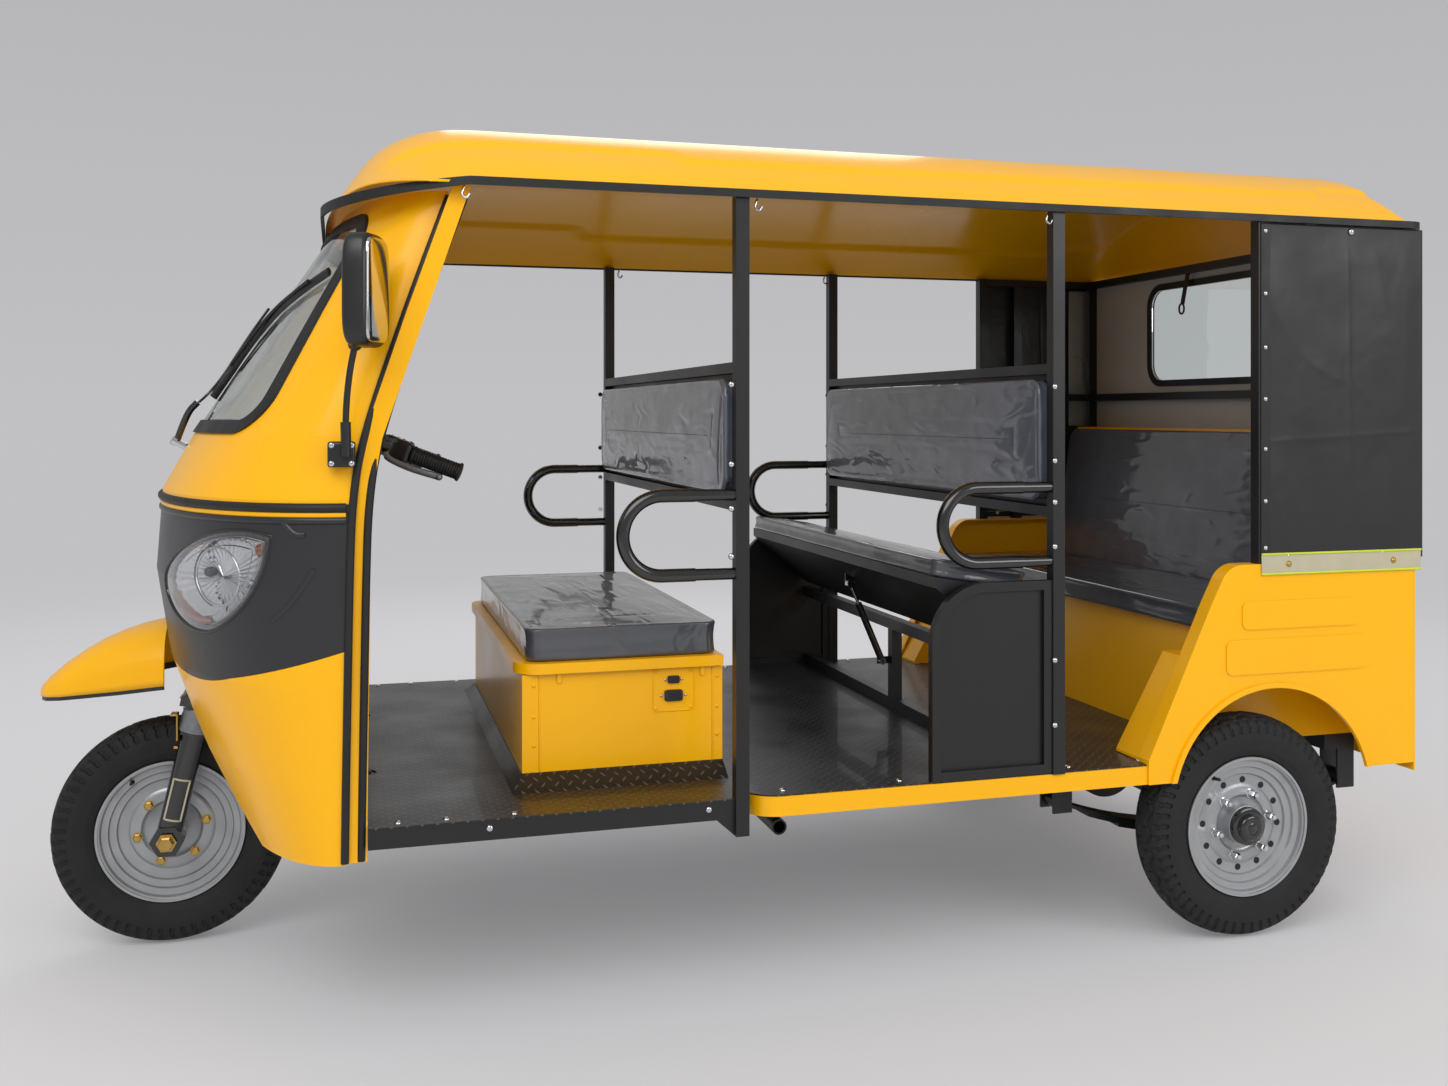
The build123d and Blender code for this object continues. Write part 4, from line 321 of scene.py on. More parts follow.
def make_piece(name, finish, *shapes, body="body", sharp=40, outwards=True, instead=None):
    """One mesh from (points, faces) shapes, on a body, in the place of a node if instead names one.

    Doubles are merged, faces turned outwards, and edges below the sharp angle drawn smooth.
    """
    starts = np.cumsum([0] + [np.size(points) // 3 for points, _ in shapes])
    mesh = bpy.data.meshes.new(name)
    mesh.from_pydata(np.concatenate([np.reshape(points, (-1, 3)) for points, _ in shapes]).tolist(), [],
                     np.concatenate([faces + start for (_, faces), start in zip(shapes, starts)]).tolist())
    work = bmesh.new()
    work.from_mesh(mesh)
    bmesh.ops.remove_doubles(work, verts=work.verts, dist=2e-6)
    bmesh.ops.dissolve_degenerate(work, edges=work.edges, dist=1e-7)
    if outwards:
        bmesh.ops.recalc_face_normals(work, faces=work.faces)
    work.to_mesh(mesh)
    work.free()
    mesh.materials.append(finish)
    mesh.shade_smooth()
    mesh.set_sharp_from_angle(angle=math.radians(sharp))
    piece = bpy.data.objects.new(name, mesh)
    bpy.context.scene.collection.objects.link(piece)
    if body:
        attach(piece, body)
    if instead:
        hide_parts(instead)
    return piece


def soften(piece, width, segments=2):
    """A bevel of the width in millimetres on the piece's sharp edges."""
    bevel = piece.modifiers.new("rounded_edges", "BEVEL")
    bevel.width = width * MM
    bevel.segments = segments
    bevel.limit_method = "ANGLE"
    bevel.harden_normals = False
    return piece


def thicken(piece, name, width, offset):
    """Gives a sheet its wall of width mm; offset -1 grows it inwards and 0 to both sides."""
    solid = piece.modifiers.new(name, "SOLIDIFY")
    solid.thickness = width * MM
    solid.offset = offset
    return piece


# %% [markdown]
# Most fittings are one of three shapes: a profile turned round an axis, a section carried along a path,
# or a block. Their sizes are in millimetres, and their points come out in metres.

# %% Shape helpers
def directions(axis):
    """Two unit vectors square to the axis and to each other, and the axis itself as a unit."""
    n = np.asarray(axis, float) / np.linalg.norm(axis)
    u = np.cross(n, (0, 0, 1) if abs(n[2]) < 0.9 else (1, 0, 0))
    u /= np.linalg.norm(u)
    return u, np.cross(n, u), n


def turned_shape(profile, centre, axis, turns=48, closed=False):
    """A lathe shape: each (along, radius) pair in mm becomes a ring round the axis through the centre."""
    u, v, n = directions(axis)
    along, radius = (np.array(profile, float) * MM).T
    t = np.linspace(0, 2 * math.pi, turns, endpoint=False)
    ring = np.cos(t)[:, None] * u + np.sin(t)[:, None] * v
    points = np.asarray(centre) + along[:, None, None] * n + radius[:, None, None] * ring
    return points, grid_faces(len(along), turns, closed, True)


def swept_shape(path, section, up=(0, 0, 1), closed=False):
    """A section of (across, up) pairs carried along a path; across is square to both path and up."""
    path = np.asarray(path, float)
    tangent = np.roll(path, -1, 0) - np.roll(path, 1, 0) if closed else np.gradient(path, axis=0)
    tangent /= np.linalg.norm(tangent, axis=1, keepdims=True)
    across = np.cross(tangent, np.asarray(up, float))
    across /= np.linalg.norm(across, axis=1, keepdims=True)
    rise = np.cross(across, tangent)
    points = path[:, None] + section[:, 0, None] * across[:, None] + section[:, 1, None] * rise[:, None]
    if not closed:
        ends = [np.repeat(path[i][None, None], len(section), 1) for i in (0, -1)]
        points = np.concatenate([ends[0], points, ends[1]])
    return points, grid_faces(len(points), len(section), closed, True)


def rod(path, radius, turns=14, up=(0, 0, 1), closed=False, squash=(1, 1)):
    """A bar of a radius in mm along a path, its circle stretched across and up by squash."""
    t = np.linspace(0, 2 * math.pi, turns, endpoint=False)
    section = np.stack([radius * MM * np.cos(t), radius * MM * np.sin(t)], -1)
    return swept_shape(path, section * squash, up, closed)


def strap(path, half_wide, low, high, up=(0, 0, 1), closed=False):
    """A flat bar along a path: half_wide mm to each side, from low to high mm."""
    section = np.array(((-half_wide, low), (half_wide, low), (half_wide, high), (-half_wide, high))) * MM
    return swept_shape(path, section, up, closed)


def smooth_path(points, rounds=3):
    """Corner cutting: each run keeps its quarter and three-quarter points, and the ends stay."""
    path = np.asarray(points, float)
    for _ in range(rounds):
        near = 0.75 * path[:-1] + 0.25 * path[1:]
        far = 0.25 * path[:-1] + 0.75 * path[1:]
        path = np.concatenate([path[:1], np.stack([near, far], 1).reshape(-1, 3), path[-1:]])
    return path


CUBE_FACES = np.array(((0, 1, 3, 2), (4, 6, 7, 5), (0, 4, 5, 1), (2, 3, 7, 6), (0, 2, 6, 4), (1, 5, 7, 3)))


def block_shape(low, high):
    """The block between two opposite corners, given as (x, y, z) in mm."""
    low, high = spot(*np.minimum(low, high)), spot(*np.maximum(low, high))
    pick = np.array([(i, j, k) for i in (0, 1) for j in (0, 1) for k in (0, 1)])
    return np.where(pick, high, low), CUBE_FACES


def squared_ellipsoid(centre, axes, half, fill, rows=28, columns=48):
    """Ellipsoid points with sines and cosines raised to the fill power; fill 1 is a true ellipsoid."""
    a, b = np.meshgrid(np.linspace(-math.pi / 2, math.pi / 2, rows),
                       np.linspace(0, 2 * math.pi, columns, endpoint=False), indexing="ij")
    cos_a, sin_a, cos_b, sin_b = (np.sign(w) * np.abs(w) ** fill for w in (np.cos(a), np.sin(a), np.cos(b), np.sin(b)))
    local = np.stack([cos_a * cos_b, cos_a * sin_b, sin_a], -1) * np.asarray(half) * MM
    unit = np.array([np.asarray(axis, float) / np.linalg.norm(axis) for axis in axes])
    return np.asarray(centre) + local @ unit, grid_faces(rows, columns, False, True)


DOME = np.array(((0, 0), (0, 1), (0.25, 0.95), (0.5, 0.7), (0.65, 0.35), (0.7, 0)))


def domes(places, axis, radius):
    """Round screw heads of a radius in mm, one short domed lathe shape at each place."""
    return [turned_shape(DOME * radius, place, axis, 16) for place in places]


def bolts(places, axis, size, height, sides=6):
    """Hexagon heads on washers: one short lathe shape with chamfered rim at each place."""
    profile = ((0, 0), (0, size * 0.72), (height * 0.18, size * 0.72), (height * 0.2, size * 0.58),
               (height * 0.85, size * 0.58), (height, size * 0.46), (height, 0))
    return [turned_shape(profile, place, axis, sides) for place in places]


def ripples(points, seed, wavelength, count=7):
    """Smooth pseudo-noise near -1 to 1: a sum of sine waves in seeded directions and phases."""
    wave = np.random.default_rng(seed)
    facing = wave.normal(size=(count, 3))
    facing /= np.linalg.norm(facing, axis=1, keepdims=True)
    pace = 2 * math.pi / (wavelength * wave.uniform(0.7, 1.5, count))
    phase = wave.uniform(0, 2 * math.pi, count)
    return np.sin(np.einsum("...k,nk->...n", points, facing * pace[:, None]) + phase).sum(-1) / count ** 0.5 / 1.2


def ease(value):
    """A smooth step from 0 to 1 while the value goes from 0 to 1."""
    value = np.clip(value, 0, 1)
    return value * value * (3 - 2 * value)


# %% [markdown]
# The tyres are small block-treaded tyres about 98 mm wide and 505 mm across. A lathe profile gives the
# smooth casing, and the tread is cut into it: points on the crown are sunk where a groove runs. Slanted
# grooves cross both shoulders sixty times round, and two zigzag grooves run round the middle.

# %% Treaded tyres
TYRE_PROFILE = np.array(((-0.030, 0.154), (-0.0385, 0.162), (-0.0455, 0.178), (-0.0486, 0.198), (-0.0482, 0.214),
                         (-0.0462, 0.228), (-0.0425, 0.2385), (-0.034, 0.2455), (-0.018, 0.2508), (0, 0.2525)))
TREAD_ROW = 4
GROOVES = 60
SLANT = 0.5
RING_DEPTH, SHOULDER_DEPTH, SIPE_DEPTH = 0.0055, 0.007, 0.003
BEAD_RADIUS = 0.1535


def tyre_rings(count_tread=46, count_wall=15):
    """Points (across, radius) round the casing: even steps over the tread, wider ones down the walls."""
    half = np.concatenate([TYRE_PROFILE, TYRE_PROFILE[-2::-1] * (-1, 1)])
    run = np.concatenate([[0], np.cumsum(np.linalg.norm(np.diff(half, axis=0), axis=1))])
    tread_start = run[TREAD_ROW]
    steps = np.concatenate([np.linspace(0, tread_start, count_wall, endpoint=False),
                            np.linspace(tread_start, run[-1] - tread_start, count_tread, endpoint=False),
                            np.linspace(run[-1] - tread_start, run[-1], count_wall)])
    across, radius = (np.interp(steps, run, half[:, k]) for k in (0, 1))
    return across, radius, (steps - run[-1] / 2) / (run[-1] / 2 - tread_start)


def treaded_tyre(name, x, y, body, replaced):
    """A tyre: its casing turned round the axle, the crown sunk along the tread's grooves."""
    across, radius, where = tyre_rings()
    turn = np.linspace(0, 2 * math.pi, GROOVES * 8, endpoint=False)
    s, t = np.meshgrid(where, turn, indexing="ij")
    pitch = t / (2 * math.pi) * GROOVES
    lug = np.abs(np.mod(pitch + SLANT * np.abs(s) * 0.9 + 0.5 * (s > 0), 1) - 0.5)
    shoulder = (np.abs(s) > 0.5) & (np.abs(s) < 1.0) & (lug < 0.17)
    zigzag = 0.30 + 0.10 * (2 * np.abs(2 * np.mod(pitch / 2, 1) - 1) - 1)
    ring = (np.abs(np.abs(s) - zigzag) < 0.062)
    sipe = (np.abs(s) < 0.24) & (np.abs(np.mod(pitch / 2 + 0.25 * np.sign(s), 1) - 0.5) < 0.05)
    edge = np.where(shoulder & ~ring, SHOULDER_DEPTH * np.clip((np.abs(s) - 0.4) * 3, 0.6, 1), 0)
    sunk = np.where(sipe & ~ring, SIPE_DEPTH, np.where(ring, RING_DEPTH, 0) + edge)
    wall = np.exp(-((radius[:, None] - 0.206) / 0.0016) ** 2) + np.exp(-((radius[:, None] - 0.176) / 0.0013) ** 2)
    out = np.where(np.abs(s) >= 1.0, wall * 0.0007, 0)
    a = across[:, None] + np.sign(across)[:, None] * (out - 0.35 * np.where(shoulder, sunk, 0))
    r = radius[:, None] - sunk
    points = np.stack([x + r * np.cos(t), y + a, WHEEL_Z + r * np.sin(t)], -1)
    inner = np.stack([x + BEAD_RADIUS * np.cos(turn), np.full_like(turn, y), WHEEL_Z + BEAD_RADIUS * np.sin(turn)], -1)
    tyre = np.concatenate([inner[None], points])
    return make_piece(name, tyre_rubber, (tyre, grid_faces(len(tyre), len(turn), True, True)), body=body, sharp=32,
                      instead=replaced)


REAR_X = AXLE_X + REAR_STATION * MM
WHEELS = (("front", AXLE_X, 0.0), ("rear_left", REAR_X, -REAR_HUB_Y), ("rear_right", REAR_X, REAR_HUB_Y))
for name, x, y in WHEELS:
    tyre = treaded_tyre(f"{name}_treaded_tyre", x, y, f"{name}_wheel", f"{name}_tyre")
    print(tyre.name, len(tyre.data.polygons))

# %% [markdown]
# The wheels are pressed from sheet steel in rings that step inwards to a flat hub plate, then painted
# silver. A closed lathe profile draws the outer face, the hub and the back face in one go, as (across,
# radius) pairs with the outer face first. Rear wheels mirror it so that the steps face outwards.

# %% Stepped pressed rims
RIM_FACE = ((40.5, 152.5), (41, 158), (38.5, 158.5), (36.5, 155), (35, 149), (27, 146), (25.5, 141), (24.5, 133),
            (19, 130), (17.5, 125), (17, 116), (12, 113), (10.5, 108), (10, 92), (13, 88), (14.5, 82), (14.5, 66),
            (10, 62), (8, 58))
RIM_BACK = ((5, 62), (9, 84), (4, 96), (8, 112), (14, 128), (20, 142), (24, 150), (-33, 151), (-40.5, 152.5),
            (-41, 158), (-38.5, 158.5), (-36, 153))
for (name, x, y), out, hub, reach, bore in zip(WHEELS, (-1, -1, 1), (33, 45, 45), (55, 31, 31), (8.1, 15.1, 15.1)):
    hub_line = ((8, hub), (reach, hub), (reach + 1, hub - 2), (reach + 1, bore), (-reach - 1, bore),
                (-reach - 1, hub - 2), (-reach, hub), (-2, hub))
    profile = np.array(RIM_FACE + hub_line + RIM_BACK) * (out, 1)
    rim = make_piece(f"{name}_pressed_rim", silver_paint, turned_shape(profile, (x, y, WHEEL_Z), (0, 1, 0), 96, True),
                     body=f"{name}_wheel", sharp=28, instead=f"{name}_rim")
    print(rim.name, len(rim.data.polygons))

# %% [markdown]
# A cushion is foam under leathercloth, wrapped in clear film. Seen from the side it has a flat underside,
# sides pulled in at mid height, a firm edge and a top that swells towards the middle. The surface is
# drawn as closed rings: rounded rectangles that climb the sides and then shrink over the top. The film
# drags the cloth into long folds, so a ridged wave pushes narrow valleys into the sides and the top.

# %% Cushions
def plan_ring(half_long, half_wide, corner, count=240):
    """A rounded rectangle as (long, wide) pairs: evenly spaced round its straight runs and corner arcs."""
    corner = min(corner, half_long, half_wide)
    turn = np.linspace(0, 2 * math.pi, count, endpoint=False)
    arc = np.stack([np.cos(turn), np.sin(turn)], -1)
    return np.array((half_long - corner, half_wide - corner)) * np.clip(arc * 8, -1, 1) + corner * arc


def padded_block(name, body, centre, axes, size, corner, crown, seed, finish, replaced):
    """A cushion of size (long, wide, high) mm on a base centre; its top swells by crown mm at the middle."""
    axes = np.array([np.asarray(a, float) / np.linalg.norm(a) for a in axes])
    long_mm, wide_mm, high = size
    shortest = min(long_mm, wide_mm) / 2
    levels = [(shortest - 1, 0), (9, 0), (3, 1.5), (1, 6), (2.6, high * 0.3), (3.2, high * 0.55), (1.2, high - 12),
              (0, high - 8), (0.6, high - 4.5), (3, high - 1.8), (7, high - 0.4), (11, high), (14, high - 1.2),
              (18, high - 0.6)]
    reach = np.linspace(0.08, 1, 26) ** 1.15
    levels += [(18 + (shortest - 18.5) * r, high - 0.6 + crown * (1 - (1 - r) ** 2.6)) for r in reach]
    inset, level = np.array(levels).T
    plans = [plan_ring(long_mm / 2 - i, wide_mm / 2 - i, max(corner - i * 0.6, 6)) for i in inset]
    local = np.dstack([plans, np.broadcast_to(level[:, None], (len(level), 240))]) * MM
    on_side = ((level > 3) & (level < high - 6))[:, None]
    outwards = local[:, :, :2] / np.linalg.norm(local[:, :, :2], axis=-1, keepdims=True)
    side = np.clip(1 - np.abs(ripples(local * (1, 1, 0.35), seed, 0.075)), 0, 1) ** 5
    over = np.clip(1 - np.abs(ripples(local * (0.35, 1, 1), seed + 1, 0.11)), 0, 1) ** 6
    swell = ripples(local, seed + 2, 0.3)
    local[:, :, :2] -= outwards * (side * on_side * 2.6 * MM)[..., None]
    on_top = local[:, :, 2] > (high - 1) * MM
    local[:, :, 2] -= np.where(on_top, over * 1.7 * MM + (swell + 1) * 0.9 * MM, 0)
    piece = make_piece(name, finish, (np.asarray(centre) + local @ axes, grid_faces(*local.shape[:2], False, True)),
                       body=body, sharp=70, instead=replaced)
    print(piece.name, len(piece.data.polygons))


TILT = math.atan2(37.7, 232)
LEAN = math.atan(0.135)
LEVEL_AXES = ((1, 0, 0), (0, 1, 0), (0, 0, 1))
PAD_AXES = ((0, 0, 1), (0, 1, 0), (-1, 0, 0))
mid_axes = ((math.cos(TILT), 0, -math.sin(TILT)), (0, 1, 0), (math.sin(TILT), 0, math.cos(TILT)))
back_axes = ((math.sin(LEAN), 0, math.cos(LEAN)), (0, 1, 0), (-math.cos(LEAN), 0, math.sin(LEAN)))
for name, body, x, z, axes, size, corner, crown, seed, finish, replaced in (
        ("driver_padded_seat", "driver_seat_lid", 945, 672.4, LEVEL_AXES, (416, 972, 71), 34, 6, 21, seat_cloth,
         "driver_cushion"),
        ("mid_padded_seat", "mid_seat", 1694, 825.4, mid_axes, (228, 1308, 38), 30, 5, 31, seat_cloth, "mid_cushion"),
        ("rear_padded_seat", "body", 2429.5, 695.4, LEVEL_AXES, (331, 1240, 54), 34, 5, 41, seat_cloth,
         "rear_cushion"),
        ("rear_padded_back", "body", 2670, 926, back_axes, (432, 1248, 37), 40, 4, 51, sheen_tinted_back_cloth,
         "rear_back_cushion"),
        ("driver_padded_rest", "body", 1148.5, 1145.5, PAD_AXES, (236, 1328, 35), 42, 4, 61, sheen_tinted_back_cloth,
         "hoop_backrests"),
        ("mid_padded_rest", "body", 1861.5, 1134, PAD_AXES, (267, 1328, 35), 42, 4, 71, sheen_tinted_back_cloth, "hoop_backrests")):
    padded_block(name, body, spot(x, 0, z), axes, size, corner, crown, seed, finish, replaced)

# %% [markdown]
# The roof is one moulding. In plan its front corners are drawn by a cubic superellipse, which leaves the
# side rims 260 mm behind the visor's tip. Across, it falls from the crown to the rim as one minus the
# 3.6th power of the distance. At the front it climbs quickly from the visor's edge, and at the back it
# ends in a tight round. A shallow raised field fills the top and steps outwards behind the driver.

# %% Roof moulding
ROOF_FRONT, ROOF_BACK = 333.5, 2817.5
ROOF_HALF = 702.5
CROWN_Z, RIM_Z, VISOR_DIP = 1807, 1634, 32
FRONT_CORNER, BACK_CORNER = 260, 45


def roof_height(x, side, front_edge, back_edge):
    """Height in mm over a plan point: rim plus crown times the fall across, the climb in front and behind."""
    rim = RIM_Z - VISOR_DIP * (1 - side ** 2) * np.exp(-((x - ROOF_FRONT) / 75) ** 2)
    climb = 1 - np.clip(1 - (x - front_edge) / 300, 0, 1) ** 2.7
    drop = 1 - np.clip(1 - (back_edge - x) / 62, 0, 1) ** 2.6
    crease = 0.815 + 0.055 * ease((x - 1014) / 40) - 0.05 * ease((x - 2600) / 30)
    field = 8 * ease((crease - side) * 700 / 16) * ease((x - front_edge - 40) / 60) * ease((back_edge - x) / 50)
    return rim + (CROWN_Z - rim) * (1 - side ** 3.6) * np.minimum(climb, drop) + field


across = np.sin(np.linspace(-1, 1, 161) * math.pi / 2)
along = (1 - np.cos(np.linspace(0, 1, 181) * math.pi)) / 2
t, v = np.meshgrid(along, across, indexing="ij")
side = np.abs(v)
front_edge = ROOF_FRONT + FRONT_CORNER * (1 - np.clip(1 - side ** 3, 0, 1) ** (1 / 3))
back_edge = ROOF_BACK - BACK_CORNER * (1 - np.clip(1 - side ** 8, 0, 1) ** (1 / 8))
plan_x = front_edge + (back_edge - front_edge) * t
height = roof_height(plan_x, side, front_edge, back_edge)
roof = make_piece("moulded_roof", yellow_enamel, (spot(plan_x, v * ROOF_HALF, height), grid_faces(*t.shape)),
                  sharp=60, instead="roof_shell")
thicken(roof, "sheet_thickness", 4.5, -1.0)
print(roof.name, len(roof.data.polygons), "top", round(float(height.max()), 1))

# %% [markdown]
# The nose is a stack of half ellipses. For each height there is a front reach, a rear edge and a half
# width, all linear between the listed rows. Turned round, this gives the distance across for any place
# seen from the side, which is how the lamps and trims are laid on the curved skin.

# %% The nose's surface
NOSE_ROWS = np.array(((347, 140, 372, 680), (500, 70, 374, 682), (680, 3, 377, 684), (860, -26, 380, 684),
                      (1030, -14, 385, 682), (1150, 52, 405, 672), (1390, 208, 485, 656), (1622, 362, 566, 640)))


def nose_row(z):
    """Front reach, rear edge and half width in mm of the nose at a height."""
    return [np.interp(z, NOSE_ROWS[:, 0], NOSE_ROWS[:, k]) for k in (1, 2, 3)]


def nose_across(x, z):
    """Distance across in mm of the nose's skin at a place given from the side, both in mm."""
    front, rear, half = nose_row(z)
    share = np.clip((rear - x) / (rear - front), -1, 1)
    return half * np.sqrt(1 - share ** 2)


def nose_skin(x, z, depth, sign):
    """Points in metres at side view places on one side, sunk depth mm under the skin along its normal."""
    y = nose_across(x, z)
    slope_x = (nose_across(x + 1, z) - nose_across(x - 1, z)) / 2
    slope_z = (nose_across(x, z + 1) - nose_across(x, z - 1)) / 2
    normal = np.stack([-slope_x, np.ones_like(slope_x), -slope_z], -1)
    normal /= np.linalg.norm(normal, axis=-1, keepdims=True)
    skin = np.stack([x, y, z], -1) - normal * np.asarray(depth)[..., None]
    return spot(skin[..., 0], sign * skin[..., 1], skin[..., 2])


# %% [markdown]
# Each headlamp is a drop shape with its tip towards the pillar. Its parts share one outline, shrunk
# towards the lamp's middle: a clear lens flush with the skin, a black rim step, a chrome bowl with fine
# flutes, an oval ring with a dark shade on its outer side, a capped bulb, and two amber parts.

# %% Headlamps
def through_points(places, count):
    """Evenly spaced points along the circle arc that runs through three (x, z) places."""
    a, b, c = np.array(places, float)
    centre = np.linalg.solve(2 * np.array((b - a, c - a)), np.array((b @ b - a @ a, c @ c - a @ a)))
    turn = np.unwrap([math.atan2(*(p - centre)[::-1]) for p in (a, b, c)])
    sweep = np.linspace(turn[0], turn[2], count, endpoint=False)
    return centre + np.linalg.norm(a - centre) * np.stack([np.cos(sweep), np.sin(sweep)], -1)


def ellipse(middle, half_x, half_z, count=64):
    """A closed outline of (x, z) pairs round a middle."""
    turn = np.linspace(0, 2 * math.pi, count, endpoint=False)
    return np.asarray(middle) + np.stack([half_x * np.cos(turn), half_z * np.sin(turn)], -1)


lamp_outline = np.concatenate([through_points(((36, 895), (110, 955), (240, 962)), 46),
                               through_points(((240, 962), (205, 850), (128, 772)), 34),
                               through_points(((128, 772), (55, 780), (36, 895)), 30)])
LAMP_MIDDLE = np.array((122.0, 872.0))
BOWL_MIDDLE = LAMP_MIDDLE + (-6, 4)
BOWL_RING = (132.0, 878.0)
BULB_PLACE = (104.0, 884.0)
BULB_CAP = ((-6, 0), (-6, 9), (4, 11), (14, 9), (18, 5), (19, 0))
TURN_BULB = np.array((208.0, 934.0))
NEARLY_ACROSS = (0, 1, 0.01)
from_middle = lamp_outline - LAMP_MIDDLE


def lamp_part(name, rows, finish, sign, middle=LAMP_MIDDLE, outline=lamp_outline, flutes=0.0, instead=None):
    """One lamp layer on a side: rows of (share of the outline, depth mm) from its middle to its edge."""
    share, depth = np.array(rows, float).T
    place = middle + share[:, None, None] * (outline - middle)
    turn = np.linspace(0, 2 * math.pi, len(outline), endpoint=False)
    deep = depth[:, None] + flutes * np.cos(36 * turn) * np.clip(share[:, None] * (1 - share[:, None]) * 4, 0, 1)
    points = nose_skin(place[..., 0], place[..., 1], deep, sign)
    make_piece(name, finish, (points, grid_faces(*deep.shape, False, True)), sharp=50, instead=instead)


for side, sign in SIDES:
    lamp_part(f"{side}_lamp_lens", ((0, 0.2), (0.5, 0.3), (0.9, 0.6), (0.985, 1.2), (0.985, 3.2), (0.9, 2.8),
                                    (0.5, 2.5), (0, 2.4)), lamp_lens, sign, instead="headlamps")
    gasket = nose_skin(*lamp_outline.T, 1.5, sign)
    make_piece(f"{side}_lamp_gasket", moulded_black, rod(gasket, 4, 10, NEARLY_ACROSS, True))
    lamp_part(f"{side}_lamp_bezel", ((0.97, 3.6), (0.95, 5), (0.9, 6.5), (0.87, 8), (0.86, 14), (0.86, 16), (0.96, 16),
                                     (0.99, 4.5), (0.97, 3.6)), gloss_black, sign, BOWL_MIDDLE)
    lamp_part(f"{side}_lamp_reflector", ((0.9, 10), (0.84, 14), (0.7, 24), (0.5, 32), (0.25, 36), (0, 37)),
              bright_chrome, sign, BOWL_MIDDLE, flutes=1.6)
    ring = nose_skin(*ellipse(BOWL_RING, 44, 56).T, 9, sign)
    make_piece(f"{side}_bowl_ring", bright_chrome, rod(ring, 2.2, 10, NEARLY_ACROSS, True))
    shade = nose_skin(*ellipse(BOWL_RING, 50, 60)[20:46].T, 13, sign)
    make_piece(f"{side}_bowl_shade", satin_band, strap(shade, 3.5, -1, 1, NEARLY_ACROSS))
    cap = turned_shape(BULB_CAP, nose_skin(*BULB_PLACE, 26, sign), (-0.6, sign, 0.1), 24)
    make_piece(f"{side}_bulb_cap", moulded_black, cap)
    lamp_part(f"{side}_lamp_turn_bulb", ((0, 12), (0.5, 14), (0.9, 19), (1, 26)), amber_lens, sign, TURN_BULB,
              ellipse(TURN_BULB, 12, 15))
    low_edge = nose_skin(*(BOWL_MIDDLE + 0.83 * from_middle[80:99]).T, 8, sign)
    make_piece(f"{side}_lamp_side_strip", amber_lens, rod(low_edge, 5, 12, NEARLY_ACROSS, squash=(1.3, 0.6)))
    for share in (0.86, 0.70):
        line = nose_skin(*(LAMP_MIDDLE + share * from_middle[4:84]).T, 3.4, sign)
        make_piece(f"{side}_lens_line_{int(share * 100)}", bright_chrome, rod(line, 1.0, 8, NEARLY_ACROSS))

# %% [markdown]
# The beak in front of the nose is a smooth shell over the wheel. Each row lists a station, the height of
# its ridge and of its lower edge, and its half width. Across, the shell follows a cosine raised to 0.7,
# which gives a flat top with steep sides. A black lining shows under its lower edge.

# %% Beak
BEAK_ROWS = np.array(((-271.5, 580, 571, 12), (-268, 591, 571, 28), (-252, 609, 572, 56), (-220, 637, 576, 82),
                      (-180, 665, 580, 95), (-140, 687.5, 584, 106), (-100, 704.5, 588, 118), (-60, 717, 593, 130),
                      (-20, 725.5, 598, 142), (-3, 727.5, 600, 147)))
steps = np.linspace(0, len(BEAK_ROWS) - 1, 70)
beak_x, ridge, low_edge, half_wide = (np.interp(steps, np.arange(len(BEAK_ROWS)), column) for column in BEAK_ROWS.T)
turn = np.linspace(-math.pi / 2, math.pi / 2, 61)
fall = np.abs(np.cos(turn)) ** 0.7
spread = np.sign(turn) * np.abs(np.sin(turn)) ** 0.85
beak_points = spot(beak_x[:, None], half_wide[:, None] * spread, low_edge[:, None] + (ridge - low_edge)[:, None] * fall)
beak = make_piece("smooth_beak", yellow_enamel, (beak_points, grid_faces(70, 61)), sharp=75, instead="front_mudguard")
thicken(beak, "sheet_thickness", 4, -1.0)
for side, sign in SIDES:
    edge = spot(beak_x[10:], sign * (half_wide[10:] - 6), low_edge[10:] - 1)
    make_piece(f"{side}_beak_lining", satin_band, strap(edge, 1.5, -8, 6), sharp=30)

# %% [markdown]
# Black rubber lines finish the edge between nose and door opening: one on the nose's rear edge and one
# further back on the pillar. A slim lip runs along the top of the black band, and short pressed strokes
# lie beside each lamp.

